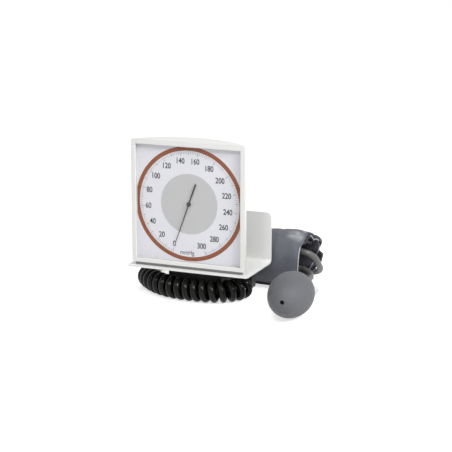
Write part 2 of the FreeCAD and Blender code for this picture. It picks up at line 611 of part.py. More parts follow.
def make_sector_gear():
    """The toothed sector: rim, two arms, hub on its own shaft, and the tail the rocking shaft pushes."""
    count = int(size("sector_cut_teeth"))
    half_swing = size("sweep / 2 * pinion_teeth / sector_teeth")
    rest = line_of_centres() + math.radians(half_swing)
    depth, thickness = size("sector_depth"), size("sector_thickness")
    inside = size("sector_pitch - sector_dedendum * tooth_module - sector_rim")
    corners = tooth_run("sector", count, rest)
    half_angle = math.pi * count / size("sector_teeth")
    rim = [rest + half_angle * (1 - step / 4) for step in range(9)]
    corners += [Vector(inside * math.sin(angle), 0, inside * math.cos(angle)) for angle in rim]
    shape = prism(corners, depth, thickness)
    half, into_rim = size("sector_arm / 2"), size("sector_rim / 4")
    for side in (-1, 1):
        arm = Part.makeBox(2 * half, thickness, inside + into_rim, Vector(-half, depth, 0))
        angle = rest + side * (half_angle - math.asin(half / inside))
        arm.rotate(Vector(), Vector(0, 1, 0), math.degrees(angle))
        shape = shape.fuse(arm)
    tail_half, reach = size("tail_half"), size("tail_reach")
    tail = Part.makeBox(2 * tail_half, thickness, reach, Vector(-tail_half, depth, -reach))
    tail.rotate(Vector(), Vector(0, 1, 0), half_swing)
    lip = size("sector_hub_lip")
    shape = shape.fuse(tail).fuse(disc("sector_hub", depth - lip, thickness + 2 * lip))
    shape = shape.fuse(disc("arbor_radius", size("plate_depth"), size("rear_plate_back - plate_depth")))
    shape.translate(Vector(size("sector_pivot_x"), 0, size("sector_pivot_z")))
    keep_shape("sector_gear", shape.removeSplitter(), on_gauge)


def make_hairspring():
    """A flat spiral of half turns from the collet out to its stud on the front plate. The centres of
    the half turns step from side to side."""
    pitch, strip = size("spring_pitch"), size("spring_strip")
    radius, centre, start = size("collet_radius") + strip, 0.0, math.pi
    inner, outer = [], []
    for number in range(int(size("spring_half_turns"))):
        for edges, ring in ((inner, radius - strip / 2), (outer, radius + strip / 2)):
            points = [Vector(centre + ring * math.cos(start + bend), 0, ring * math.sin(start + bend))
                      for bend in (0, math.pi / 2, math.pi)]
            edges.append(Part.Arc(*points).toShape())
        end = Vector(centre - radius * math.cos(start), 0, 0)
        centre += math.cos(start) * pitch / 4
        radius += pitch / 4
        start += math.pi
    first = [edges[0].valueAt(edges[0].FirstParameter) for edges in (inner, outer)]
    last = [edges[-1].valueAt(edges[-1].LastParameter) for edges in (inner, outer)]
    edges = inner + outer + [Part.makeLine(*first), Part.makeLine(*last)]
    face = Part.Face(Part.Wire(Part.__sortEdges__(edges)))
    plate, height = size("front_plate_back"), size("spring_height")
    face.translate(Vector(0, plate + size("spring_gap"), 0))
    stud = disc("spring_stud", plate, size("spring_gap") + height)
    stud.translate(end)
    keep_shape("hairspring", face.extrude(Vector(0, height, 0)).fuse(stud), on_gauge)


PILLARS = [(x, z) for x in ("-pillar_x", "pillar_x") for z in ("pillar_top", "-pillar_bottom")]


def rounded_plate(body, depth, thickness, top):
    extend(body, "XZ", depth, thickness, box_outline("-plate_half", "-plate_bottom", "plate_half", top))
    dress(body, "Fillet", "plate_corner", lambda spot: near(abs(spot.x), "plate_half") and (
        near(spot.z, top) or near(spot.z, "-plate_bottom")))


def make_plates():
    """The two movement plates, with the shafts' holes, and the base plate behind the capsule."""
    front = new_body("front_plate", on_gauge)
    rear = new_body("rear_plate", on_gauge)
    hole = "arbor_radius + running_gap"
    shafts = circles(hole, ("0", "0"), ("sector_pivot_x", "sector_pivot_z"))
    for body, depth in ((front, "plate_depth"), (rear, "rear_plate_depth")):
        rounded_plate(body, depth, "plate_thickness", "plate_top")
        cut(body, "XZ", depth, "plate_thickness", shafts)
        cut(body, "XZ", depth, "plate_thickness", circles("plate_screw_radius + running_gap", *PILLARS))
    push_height = "(sector_pivot_z - tail_contact)"
    cut(rear, "XZ", "rear_plate_depth", "plate_thickness", box_outline(
        "sector_pivot_x - slot_left", f"{push_height} - arm_thickness / 2 - slot_margin",
        "sector_pivot_x + slot_right", f"{push_height} + arm_thickness / 2 + slot_margin"))
    for low in ("lug_top", "-lug_bottom - lug_height"):
        extend(rear, "XY", low, "lug_height", box_outline(
            "sector_pivot_x - lug_half", "rear_plate_back - plate_thickness / 2",
            "sector_pivot_x + lug_half", "rocker_depth + lug_end"))
    cut(rear, "XY", "-lug_bottom - lug_height", "lug_top + lug_bottom + 2 * lug_height",
        circles("rocker_pivot + running_gap", ("sector_pivot_x", "rocker_depth")))

    base = new_body("movement_base", on_gauge)
    rounded_plate(base, "base_depth", "base_thickness", "base_top")
    cut(base, "XZ", "base_depth", "base_thickness", circles("stem_radius + running_gap", ("0", "0")))
    cut(base, "XZ", "base_depth", "base_thickness",
        circles("base_screw_radius + running_gap", *BASE_SCREWS))


def make_pillars_and_screws():
    rear = new_body("rear_pillars", on_gauge)
    extend(rear, "XZ", "rear_plate_back", "base_depth - rear_plate_back", circles("pillar_radius", *PILLARS))
    cut(rear, "XZ", "rear_plate_back", "plate_screw_length", circles("plate_screw_radius", *PILLARS))
    front = new_body("front_pillars", on_gauge)
    extend(front, "XZ", "front_plate_back", "plate_gap", circles("pillar_radius", *PILLARS))
    cut(front, "XZ", "front_plate_back", "plate_gap",
        circles("plate_screw_radius + running_gap", *PILLARS))
    screws = new_body("plate_screws", on_gauge)
    head_front = "plate_depth - plate_screw_head_height"
    extend(screws, "XZ", head_front, "plate_screw_head_height", circles("plate_screw_head", *PILLARS))
    extend(screws, "XZ", "plate_depth", "plate_screw_length", circles("plate_screw_radius", *PILLARS))
    for x, z in PILLARS:
        cut(screws, "XZ", head_front, "screw_slot_depth", box_outline(
            f"{x} - plate_screw_head", f"{z} - screw_slot_half",
            f"{x} + plate_screw_head", f"{z} + screw_slot_half"))
    base_screws = new_body("base_screws", on_gauge)
    extend(base_screws, "XZ", "base_depth - base_screw_head_height", "base_screw_head_height",
           circles("base_screw_head", *BASE_SCREWS))
    extend(base_screws, "XZ", "base_depth", "base_screw_length", circles("base_screw_radius", *BASE_SCREWS))


def make_rocking_shaft():
    """The shaft between the lugs: a short arm on the capsule's boss, a long arm on the sector's tail."""
    thick, gap = size("arm_thickness"), size("rocker_end_gap")
    low, high = size("-lug_bottom"), size("lug_top")
    lug = size("lug_height")
    shaft = Part.makeCylinder(size("rocker_radius"), high - low - 2 * gap, Vector(0, 0, low + gap))
    pivots = Part.makeCylinder(size("rocker_pivot"), high - low + 2 * lug, Vector(0, 0, low - lug))
    short, offset = size("short_arm_reach"), size("short_arm_offset")
    short_arm = Part.makeBox(short, thick, thick, Vector(-short, -thick / 2, -thick / 2))
    short_arm.rotate(Vector(), Vector(0, 0, 1), math.degrees(math.atan2(offset, short)))
    tip = Part.makeCylinder(size("short_arm_tip"), thick, Vector(-short, -offset, -thick / 2))
    reach, half = size("long_arm_reach"), size("long_arm_half")
    push = size("sector_pivot_z - tail_contact")
    long_arm = Part.makeBox(2 * half, reach, thick, Vector(-half, -reach, push - thick / 2))
    long_arm.rotate(Vector(), Vector(0, 0, 1), -size("long_arm_angle"))
    shape = shaft.multiFuse([pivots, short_arm, tip, long_arm])
    shape.translate(Vector(size("sector_pivot_x"), size("rocker_depth"), 0))
    keep_shape("rocking_shaft", shape.removeSplitter(), on_gauge)


def make_capsule():
    """The corrugated aneroid capsule with its threaded stem, and the boss it lifts."""
    capsule = new_body("capsule", on_gauge)
    waves = ["0.225", "0.35", "0.475", "0.6", "0.725", "0.85"]
    front = [("capsule_depth + capsule_wave", "0")]
    back = [("capsule_back - capsule_wave", "0")]
    for number, share in enumerate(waves):
        rise = "0" if number % 2 else "capsule_wave"
        front.append((f"capsule_depth + {rise}", f"capsule_radius * {share}"))
        back.append((f"capsule_back - {rise}", f"capsule_radius * {share}"))
    middle = "capsule_depth + capsule_thickness / 2"
    rim = [(f"{middle} + capsule_rim / 2", "capsule_radius"),
           (f"{middle} - capsule_rim / 2", "capsule_radius")]
    turn(capsule, "YZ", "H", polygon(*front[::-1], *back, *rim))
    root = "(capsule_back - 2 * capsule_wave)"
    extend(capsule, "XZ", root, f"stem_end - {root}", circles("stem_radius", ("0", "0")))
    cut(capsule, "XZ", "capsule_back", "stem_end - capsule_back", circles("air_bore", ("0", "0")))
    boss = new_body("capsule_boss", on_gauge)
    foot = "(capsule_depth + capsule_wave - boss_sink)"
    extend(boss, "XZ", "boss_front", f"{foot} - boss_front", circles("boss_radius", ("0", "0")))
    extend(boss, "XZ", f"{foot} - boss_foot_height", "boss_foot_height", circles("boss_foot", ("0", "0")))


# ---------------------------------------------------------------- air inlet
def at_elbow(item):
    """The gauge's frame, turned so that the elbow's leg leans towards the hose block."""
    item.Placement = Placement(Vector(), Rotation(Vector(0, 1, 0), -size("elbow_turn")))
    on_gauge(item)


def make_inlet():
    """Nut and elbow on the capsule's stem outside the case."""
    nut = new_body("elbow_nut", on_gauge)
    extend(nut, "XZ", "housing_depth", "elbow_nut_height", hexagon("elbow_nut_flats"))
    cut(nut, "XZ", "housing_depth", "elbow_nut_height", circles("stem_radius + running_gap", ("0", "0")))
    elbow = new_body("inlet_elbow", at_elbow)
    start = "(housing_depth + elbow_nut_height)"
    leg = ("0", f"{start} + elbow_length - elbow_radius")
    extend(elbow, "XZ", start, "elbow_length", circles("elbow_radius", ("0", "0")))
    extend(elbow, "XY", "-elbow_drop", "elbow_drop", circles("elbow_leg", leg))
    dress(elbow, "Fillet", "elbow_edge", lambda spot: near(spot.y, f"{start} + elbow_length"))
    extend(elbow, "XY", "-elbow_drop - spigot_length", "spigot_length + elbow_edge",
           circles("link_bore - running_gap", leg))
    cut(elbow, "XZ", start, f"stem_end - {start} + stem_end_gap",
        circles("stem_radius + running_gap", ("0", "0")))
    cut(elbow, "XY", "-elbow_drop - spigot_length", "elbow_drop + spigot_length", circles("air_bore", leg))


def make_hose_block():
    """A bent union under the tray: a threaded stem up through the floor, a spigot for the curly hose."""
    block = new_body("hose_block", on_desk)
    front, low = "block_stem_y - block_half", "foot_height - block_depth"
    stem, barb = ("block_stem_x", "block_stem_y"), ("block_barb_x", "barb_height")
    extend(block, "XZ", front, "2 * block_half", polygon(
        ("block_stem_x - block_half", "foot_height"),
        ("block_stem_x - block_half", "foot_height - block_bridge"),
        ("block_barb_x - block_half", "foot_height - block_bridge"),
        ("block_barb_x - block_half", low), ("block_barb_x + block_half", low),
        ("block_barb_x + block_half", "foot_height")))
    dress(block, "Fillet", "block_corner", lambda spot: near(spot.z, low),
          lambda middle: not near(middle.x, "block_barb_x"))
    extend(block, "XY", "foot_height", "link_low - foot_height", circles("block_stem", stem))
    extend(block, "XY", "link_low", "spigot_length", circles("link_bore - running_gap", stem))
    extend(block, "XZ", f"{front} - block_collar_height", "block_collar_height",
           circles("block_collar", barb))
    extend(block, "XZ", f"{front} - block_collar_height - spigot_length", "spigot_length",
           circles("hose_bore - running_gap", barb))
    nut = new_body("block_nut", on_desk)
    extend(nut, "XY", "tray_height", "block_nut_height", hexagon("block_nut_flats", *stem))
    cut(nut, "XY", "tray_height", "block_nut_height", circles("block_stem + running_gap", stem))


# ---------------------------------------------------------------- hoses
COIL_ROUTE = [(-78.5, 19, 14), (-70.5, 4.5, 14), (-49.5, -15.5, 14), (-21, -28, 14), (10, -29.3, 14),
              (31, -26.5, 14), (45, -18.5, 14), (54, -4.5, 14), (54, 9.5, 14)]
LINK_BENDS = [(25, 14.5, 89), (34, 21, 76.5), (40, 27, 63)]
CUFF_LEAD = [(-78.5, 19, 14), (-83.3, 27.7, 14), (-90.5, 43, 9.5), (-95, 66, 5), (-91, 92, 4.25),
             (-76, 113, 4.25), (-53, 125, 4.25), (-29, 130.3, 4.25), (-4, 131, 4.8)]
CUFF_TUBE = [(91, 75, 47), (101, 75, 47), (110.5, 77.9, 44.8), (118, 83.4, 40.6), (122.4, 90.9, 35),
             (123.6, 99.6, 28.4), (122.6, 108.4, 21.8), (118, 116.8, 15.5), (109.2, 124.2, 9.9),
             (95.2, 129, 6.2)]
BULB_TUBE_END = [(125.3, 48.5, 22.3), (121.7, 60, 23), (114, 69, 24.5), (103.2, 74.6, 25), (91, 74.6, 25)]


def rounded_route(name, points):
    """Straight runs joined by tangent arcs, each as large as its two runs allow."""
    edges, radii, reached = [], [], points[0]
    for before, corner, after in zip(points, points[1:], points[2:]):
        run_in, run_out = corner - before, after - corner
        bend = run_in.getAngle(run_out)
        setback = 0.45 * min(run_in.Length, run_out.Length)
        radius = setback / math.tan(bend / 2)
        step_in, step_out = run_in / run_in.Length, run_out / run_out.Length
        arc_from, arc_to = corner - step_in * setback, corner + step_out * setback
        inward = (step_out - step_in).normalize()
        middle = corner + inward * (radius / math.cos(bend / 2) - radius)
        edges += [Part.LineSegment(reached, arc_from).toShape(), Part.Arc(arc_from, middle, arc_to).toShape()]
        radii.append(radius)
        reached = arc_to
    edges.append(Part.LineSegment(reached, points[-1]).toShape())
    print(f"{name}: arc radii", [round(radius, 1) for radius in radii])
    return Part.Wire(edges)


def make_hose(name, route, radius, bore=None, bored_at=()):
    """A hose along a route. The bore is cut where a spigot fills it: at the start, the end or both."""
    points = [Vector(*point) for point in route]
    path = rounded_route(name, points)
    first = path.Edges[0]
    ring = Part.makeCircle(size(radius), points[0], first.tangentAt(first.FirstParameter))
    shape = path.makePipeShell([Part.Wire(ring)], True, False)
    wanted = math.pi * size(radius) ** 2 * path.Length
    assert abs(shape.Volume / wanted - 1) < 0.002, f"{name} has the wrong volume"
    for end, inside in (("start", points[1] - points[0]), ("end", points[-2] - points[-1])):
        if end in bored_at:
            mouth = points[0] if end == "start" else points[-1]
            depth = size("spigot_length + spigot_end_gap")
            shape = shape.cut(Part.makeCylinder(size(bore), depth, mouth, inside))
    print(f"{name}: length {path.Length:.1f}")
    keep_shape(name, shape, on_desk)


def link_route():
    """From the elbow's leg, along that leg, to the collar over the tray, straight down on it."""
    lean = Rotation(Vector(0, 1, 0), -size("elbow_turn")).multVec(Vector(0, 0, -1))
    elbow_y = size("housing_depth + elbow_nut_height + elbow_length - elbow_radius - face_front")
    top = Vector(0, elbow_y, size("axis_height")) + lean * size("elbow_drop")
    low = Vector(size("block_stem_x"), size("block_stem_y"), size("link_low"))
    return [top, top + lean * size("link_stub"), *LINK_BENDS, low]


def make_hoses():
    both = ("start", "end")
    make_hose("link_hose", link_route(), "link_radius", "link_bore", both)
    make_hose("coil_hose", COIL_ROUTE, "coil_radius")
    barb = (size("block_barb_x"), size("block_stem_y - block_half - block_collar_height"),
            size("barb_height"))
    make_hose("coil_lead_gauge", [COIL_ROUTE[-1], barb], "hose_radius", "hose_bore", ["end"])
    x, y, z = size("connector_x"), size("connector_y"), size("connector_height")
    lead_end = [(x - size("connector_lead"), y, z), (x, y, z)]
    make_hose("coil_lead_cuff", CUFF_LEAD + lead_end, "hose_radius", "hose_bore", ["end"])
    socket_end = (x + size("2 * connector_grip + connector_nose"), y, z)
    make_hose("cuff_tube", CUFF_TUBE + [socket_end], "cuff_tube_radius", "cuff_tube_bore", ["end"])
    axis = bulb_rotation().multVec(Vector(0, 0, 1))
    start = Vector(size("bulb_x"), size("bulb_y"), size("bulb_z")) - axis * size("hose_end")
    bulb_end = [start, start - axis * size("bulb_tube_stub")]
    make_hose("bulb_tube", bulb_end + BULB_TUBE_END, "cuff_tube_radius", "cuff_tube_bore", ["start"])


def along_x(item):
    """The connector's frame: +Z of the piece along the desk's +X."""
    item.Placement = Placement(Vector(), Rotation(Vector(0, 1, 0), 90))
    bind(item, "Placement.Base.x", "connector_x")
    bind(item, "Placement.Base.y", "connector_y")
    bind(item, "Placement.Base.z", "connector_height")


def make_connectors():
    """The two halves of the twist connector between the curly hose and the cuff's tube."""
    plug = new_body("connector_plug", along_x)
    narrow = "connector_radius - connector_bevel"
    turn(plug, "XZ", "V", polygon(
        ("air_bore", "-connector_spigot"), ("hose_bore - running_gap", "-connector_spigot"),
        ("hose_bore - running_gap", "0"), (narrow, "0"), ("connector_radius", "connector_bevel"),
        ("connector_radius", "connector_grip - connector_bevel"), (narrow, "connector_grip"),
        ("connector_nose_radius", "connector_grip"),
        ("connector_nose_radius", "connector_grip + connector_nose"),
        ("air_bore", "connector_grip + connector_nose")))
    socket = new_body("connector_socket", along_x)
    end = "(2 * connector_grip + connector_nose)"
    begin = "(connector_grip + connector_nose)"
    turn(socket, "XZ", "V", polygon(
        ("air_bore", begin), (narrow, begin), ("connector_radius", f"{begin} + connector_bevel"),
        ("connector_radius", f"{end} - connector_bevel"), (narrow, end),
        ("cuff_tube_bore - running_gap", end), ("cuff_tube_bore - running_gap", f"{end} + connector_spigot"),
        ("air_bore", f"{end} + connector_spigot")))


# ---------------------------------------------------------------- cuff
def make_cuff():
    """The rolled cuff: the outer wraps, and the core, whose end is hollow where the two tubes come out
    and has a fold standing out over them."""
    centre = ("cuff_y", "cuff_z")
    wrap = new_body("cuff_wrap", on_desk)
    extend(wrap, "YZ", "-cuff_left", "cuff_left + cuff_right", circles("cuff_radius", centre))
    cut(wrap, "YZ", "-cuff_left", "cuff_left + cuff_right",
        circles("cuff_core_radius + cuff_core_gap", centre))
    core = new_body("cuff_core", on_desk)
    extend(core, "YZ", "-cuff_left", "cuff_left + fold_end", circles("cuff_core_radius", centre))
    cut(core, "YZ", "recess_floor", "fold_end - recess_floor", circles("recess_radius", centre))
    cut(core, "YZ", "core_end", "fold_end - core_end", polygon(
        ("cuff_y - cuff_radius", "0"), ("cuff_y + cuff_radius", "0"),
        ("cuff_y + cuff_radius", "cuff_z + cuff_radius"), ("cuff_y + fold_back", "cuff_z + cuff_radius"),
        ("cuff_y + fold_back", "cuff_z + fold_rise"), ("cuff_y - cuff_radius", "cuff_z + fold_rise")))


# ---------------------------------------------------------------- bulb and valve
def bulb_wall_at(inset, side):
    """The bulb's wall, inset from its outside: end radius, flank radius and where the two arcs meet."""
    end, flank = f"(bulb_end - {inset})", f"(bulb_flank - {inset})"
    meet = (f"{end} * bulb_lean_out", f"{side} * (bulb_end_centre + {end} * bulb_lean_up)")
    return end, flank, meet


def on_end(radius, reach, side):
    """The height on an end arc of that radius, at reach from the axis."""
    return f"{side} * (bulb_end_centre + sqrt({radius} ^ 2 - {reach} ^ 2))"


def make_bulb():
    """A hollow rubber bulb: an oval of arcs, a neck for the valve and a small inlet hole."""
    bulb = new_body("bulb", on_bulb)
    end, flank, top = bulb_wall_at("0", "1")
    bottom = bulb_wall_at("0", "-1")[2]
    inner_end, inner_flank, inner_top = bulb_wall_at("bulb_wall", "1")
    inner_bottom = bulb_wall_at("bulb_wall", "-1")[2]
    mouth = "valve_stem + running_gap"
    turn(bulb, "XZ", "V", polygon(
        ("inlet_hole", on_end(end, "inlet_hole", 1), f"-{end}"), (*top, f"-{flank}"), (*bottom, f"-{end}"),
        ("neck_radius", on_end(end, "neck_radius", -1)), ("neck_radius", "-neck_end"), (mouth, "-neck_end"),
        (mouth, on_end(inner_end, f"({mouth})", -1), inner_end), (*inner_bottom, inner_flank),
        (*inner_top, inner_end), ("inlet_hole", on_end(inner_end, "inlet_hole", 1))))


def make_inlet_valve():
    """The seat behind the bulb's inlet hole and the flap that closes on it."""
    insert = new_body("inlet_seat", on_bulb)
    seat, cage = "(insert_face - seat_height)", "(insert_face - insert_length)"
    turn(insert, "XZ", "V", polygon(
        ("insert_bore", "insert_face"), ("insert_bore", seat), ("cage_radius", seat),
        ("cage_radius", f"{cage} + cage_lip"), ("cage_lip_bore", f"{cage} + cage_lip"),
        ("cage_lip_bore", cage), ("insert_radius", cage), ("insert_radius", "insert_face")))
    flap = new_body("inlet_flap", on_bulb)
    extend(flap, "XY", f"{seat} - flap_gap - flap_thickness", "flap_thickness",
           circles("flap_radius", ("0", "0")))


def make_valve():
    """The metal valve body in the bulb's neck, with its outlet flap and the hose nipple."""
    valve = new_body("valve_body", on_valve)
    turn(valve, "XZ", "V", polygon(
        ("valve_bore", "-neck_start"), ("valve_bore", "-outlet_seat"), ("cage_radius", "-outlet_seat"),
        ("cage_radius", "-outlet_seat - outlet_depth"), ("valve_bore", "-outlet_seat - outlet_depth"),
        ("valve_bore", "-valve_end + nipple_thread_length"),
        ("nipple_thread", "-valve_end + nipple_thread_length"),
        ("nipple_thread", "-valve_end"), ("valve_radius - valve_bevel", "-valve_end"),
        ("valve_radius", "-valve_end + valve_bevel"),
        ("valve_radius", "-neck_end - valve_collar_height"),
        ("valve_collar", "-neck_end - valve_collar_height"),
        ("valve_collar", "-neck_end"), ("valve_stem", "-neck_end"), ("valve_stem", "-neck_start")))
    extend(valve, "YZ", "side_boss_start", "side_boss_end - side_boss_start",
           circles("side_boss", ("0", "-knob_station")))
    cut(valve, "YZ", "side_bore_start", "side_boss_end - side_bore_start",
        circles("needle_hole", ("0", "-knob_station")))
    flap = new_body("outlet_flap", on_valve)
    extend(flap, "XY", "-outlet_seat - flap_gap - flap_thickness", "flap_thickness",
           circles("flap_radius", ("0", "0")))
    nipple = new_body("hose_nipple", on_valve)
    turn(nipple, "XZ", "V", polygon(
        ("nipple_bore", "-valve_end + nipple_thread_length"),
        ("nipple_thread", "-valve_end + nipple_thread_length"),
        ("nipple_thread", "-valve_end"), ("nipple_hex", "-valve_end"), ("nipple_hex", "-hose_end"),
        ("cuff_tube_bore - running_gap", "-hose_end"),
        ("cuff_tube_bore - running_gap", "-hose_end - nipple_length"),
        ("nipple_bore", "-hose_end - nipple_length")))


def at_knob(item):
    """The knob's frame: on the bulb's axis at knob_station, +X along the knob's axis."""
    item.Placement = Placement(Vector(), bulb_rotation("knob_roll"))
    bind(item, "Placement.Base.x", "bulb_x - knob_station * cos(bulb_tilt) * cos(bulb_heading)")
    bind(item, "Placement.Base.y", "bulb_y - knob_station * cos(bulb_tilt) * sin(bulb_heading)")
    bind(item, "Placement.Base.z", "bulb_z - knob_station * sin(bulb_tilt)")


def make_release_valve():
    """The needle that closes the side hole and the fluted knob that drives it."""
    needle = new_body("valve_needle", at_knob)
    turn(needle, "XZ", "H", polygon(
        ("needle_seat", "0"), ("needle_seat + needle_point", "valve_needle_radius"),
        ("needle_end", "valve_needle_radius"), ("needle_end", "0")))
    knob = new_body("valve_knob", at_knob)
    centre = ("0", "0")
    extend(knob, "YZ", "knob_start", "knob_length", circles("knob_radius", centre))
    dress(knob, "Chamfer", "knob_crown", lambda spot: near(spot.x, "knob_start + knob_length"))
    cut(knob, "YZ", "knob_start", "needle_end - knob_start + needle_end_gap", circles("needle_hole", centre))
    flute = cut(knob, "YZ", "knob_start", "knob_length", circles("knob_flute", ("knob_radius", "0")))
    flutes = knob.newObject("PartDesign::PolarPattern", "valve_knob_flutes")
    flutes.Originals = [flute]
    flutes.Axis = (own_datum(knob, "X_Axis"), [""])
    flutes.Angle = 360
    bind(flutes, "Occurrences", "knob_flutes")
    knob.Tip = flutes


# ---------------------------------------------------------------- build, check and write
def build():
    fill_sheet()
    make_tray()
    make_foot()
    make_housing_spacer()
    make_rear_shell()
    make_housing_screws()
    make_front_bezel()
    make_window_and_dial()
    make_pointer()
    make_pinion_arbor()
    make_sector_gear()
    make_hairspring()
    make_plates()
    make_pillars_and_screws()
    make_rocking_shaft()
    make_capsule()
    make_inlet()
    make_hose_block()
    make_hoses()
    make_connectors()
    make_cuff()
    make_bulb()
    make_inlet_valve()
    make_valve()
    make_release_valve()
    doc.recompute()


def write():
    """Checks every object and every sub-part, then writes each sub-part's own file."""
    for item in doc.Objects:
        bad = {"Invalid", "Error"} & set(item.State)
        assert not bad, f"{item.Label} failed: {item.State}"
    for name, item in nodes.items():
        shape = item.Shape
        assert not shape.isNull() and shape.isValid() and shape.Solids, f"{name} is not a good solid"
    os.makedirs("parts", exist_ok=True)
    for name, item in nodes.items():
        item.Shape.exportStep(f"parts/{name}.step")
    print(len(nodes), "sub-parts written")


build()
write()
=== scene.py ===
"""Looks of the desk aneroid sphygmomanometer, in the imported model's frame: Z up, X along the dial, -Y towards
the reader, the origin on the table under the foot. Sizes are in millimetres unless a comment says metres."""
import json
import math

import bmesh
import bpy
from mathutils import Matrix, Vector, noise

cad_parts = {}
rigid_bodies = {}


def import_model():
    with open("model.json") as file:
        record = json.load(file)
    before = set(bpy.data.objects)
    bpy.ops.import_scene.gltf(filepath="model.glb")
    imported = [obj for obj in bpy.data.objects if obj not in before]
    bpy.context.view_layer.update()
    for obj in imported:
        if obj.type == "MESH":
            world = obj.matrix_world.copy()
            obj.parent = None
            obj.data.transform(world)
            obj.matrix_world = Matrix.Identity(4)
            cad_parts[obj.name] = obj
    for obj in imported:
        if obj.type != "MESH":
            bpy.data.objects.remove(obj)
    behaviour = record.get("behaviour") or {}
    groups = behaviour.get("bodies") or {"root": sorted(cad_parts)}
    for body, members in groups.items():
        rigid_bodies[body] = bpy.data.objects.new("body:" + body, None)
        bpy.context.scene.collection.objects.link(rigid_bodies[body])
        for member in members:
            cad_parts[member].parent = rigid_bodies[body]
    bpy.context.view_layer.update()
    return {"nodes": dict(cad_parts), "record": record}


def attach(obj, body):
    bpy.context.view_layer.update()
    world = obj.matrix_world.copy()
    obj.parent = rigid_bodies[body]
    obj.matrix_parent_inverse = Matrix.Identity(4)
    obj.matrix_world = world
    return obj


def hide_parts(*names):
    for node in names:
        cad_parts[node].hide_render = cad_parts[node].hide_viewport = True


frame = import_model()
MM = 0.001
UP = Vector((0, 0, 1))


# ---------------------------------------------------------------- materials
CLOUD_SCALE, GLOSS_SCALE, MARK_SCALE = 35, 160, 1200    # of surfaces' tone and gloss, and of metals' marks
FIELD_LOW, FIELD_HIGH = 0.3, 0.7                        # where nearly all of a noise field lies
METAL_DARKER, METAL_SMOOTHER, METAL_ROUGHER = 0.9, 0.8, 1.2
WINDOW_TINT, WINDOW_ALPHA = (0.95, 0.97, 0.98), 0.03


def node_tree(name):
    made = bpy.data.materials.new(name)
    made.use_nodes = True
    return made, made.node_tree, made.node_tree.nodes["Principled BSDF"]


def new_node(tree, kind, **values):
    """A node with each value set on the socket of that name, or else as its own property."""
    made = tree.nodes.new(kind)
    for key, value in values.items():
        if key in made.inputs:
            made.inputs[key].default_value = value
        else:
            setattr(made, key, value)
    return made


def noise_field(tree, scale, detail=3, stretch=(1, 1, 1)):
    """Noise over the object's own space, with scale cells to the metre."""
    place = new_node(tree, "ShaderNodeTexCoord")
    mapping = new_node(tree, "ShaderNodeMapping", Scale=stretch)
    field = new_node(tree, "ShaderNodeTexNoise", Scale=scale, Detail=detail)
    tree.links.new(place.outputs["Object"], mapping.inputs["Vector"])
    tree.links.new(mapping.outputs["Vector"], field.inputs["Vector"])
    return field.outputs["Fac"]


def spread(tree, field, low, high):
    """A field's middle part stretched to run from low to high."""
    made = new_node(tree, "ShaderNodeMapRange")
    for key, value in (("From Min", FIELD_LOW), ("From Max", FIELD_HIGH), ("To Min", low), ("To Max", high)):
        made.inputs[key].default_value = value
    tree.links.new(field, made.inputs["Value"])
    return made.outputs["Result"]


def blend_colours(tree, field, first, second):
    """Runs from one colour to another with a field."""
    made = new_node(tree, "ShaderNodeMix", data_type="RGBA")
    made.inputs["A"].default_value = (*first, 1)
    made.inputs["B"].default_value = (*second, 1)
    tree.links.new(field, made.inputs["Factor"])
    return made.outputs["Result"]


def turn_towards(tree, field, below, colour):
    """Runs from the colours below to one colour with a field."""
    made = new_node(tree, "ShaderNodeMix", data_type="RGBA")
    tree.links.new(field, made.inputs["Factor"])
    tree.links.new(below, made.inputs["A"])
    made.inputs["B"].default_value = (*colour, 1)
    return made.outputs["Result"]


def combine(tree, operation, first, second, **values):
    """Two fields joined by a Math node's operation."""
    made = new_node(tree, "ShaderNodeMath", operation=operation, **values)
    tree.links.new(first, made.inputs[0])
    tree.links.new(second, made.inputs[1])
    return made.outputs["Value"]


def mesh_field(tree, name):
    """One of the mesh's own attributes."""
    return new_node(tree, "ShaderNodeAttribute", attribute_name=name).outputs["Fac"]


def add_bump(tree, shader, field, height, edge=0.0):
    """Raises the surface by a field, with its edges softened over edge."""
    bump = new_node(tree, "ShaderNodeBump", Distance=height * MM, Strength=1.0)
    tree.links.new(field, bump.inputs["Height"])
    if edge:
        soft = new_node(tree, "ShaderNodeBevel", Radius=edge * MM)
        tree.links.new(soft.outputs["Normal"], bump.inputs["Normal"])
    tree.links.new(bump.outputs["Normal"], shader.inputs["Normal"])


def surface(name, colour, roughness, grain=900, grain_height=0.02, tone=0.04, rough_spread=0.06, edge=0.0,
            **sockets):
    """A moulded, painted or rubber surface: cloudy tone, uneven gloss and a fine grain."""
    made, tree, shader = node_tree(name)
    darker = tuple(channel * (1 - tone) for channel in colour)
    lighter = tuple(min(channel * (1 + tone), 1) for channel in colour)
    cloud = spread(tree, noise_field(tree, CLOUD_SCALE), 0, 1)
    tree.links.new(blend_colours(tree, cloud, darker, lighter), shader.inputs["Base Color"])
    gloss = noise_field(tree, GLOSS_SCALE)
    gloss = spread(tree, gloss, roughness - rough_spread, roughness + rough_spread)
    tree.links.new(gloss, shader.inputs["Roughness"])
    add_bump(tree, shader, noise_field(tree, grain), grain_height, edge)
    for key, value in sockets.items():
        shader.inputs[key.replace("_", " ")].default_value = value
    return made


def metal(name, colour, roughness, grain_height=0.01):
    """A turned, rolled or plated metal with fine marks in its tone and its gloss."""
    made, tree, shader = node_tree(name)
    shader.inputs["Metallic"].default_value = 1
    marks = noise_field(tree, MARK_SCALE, detail=4)
    darker = tuple(channel * METAL_DARKER for channel in colour)
    tone = blend_colours(tree, spread(tree, marks, 0, 1), darker, colour)
    tree.links.new(tone, shader.inputs["Base Color"])
    gloss = spread(tree, marks, roughness * METAL_SMOOTHER, roughness * METAL_ROUGHER)
    tree.links.new(gloss, shader.inputs["Roughness"])
    add_bump(tree, shader, marks, grain_height)
    return made


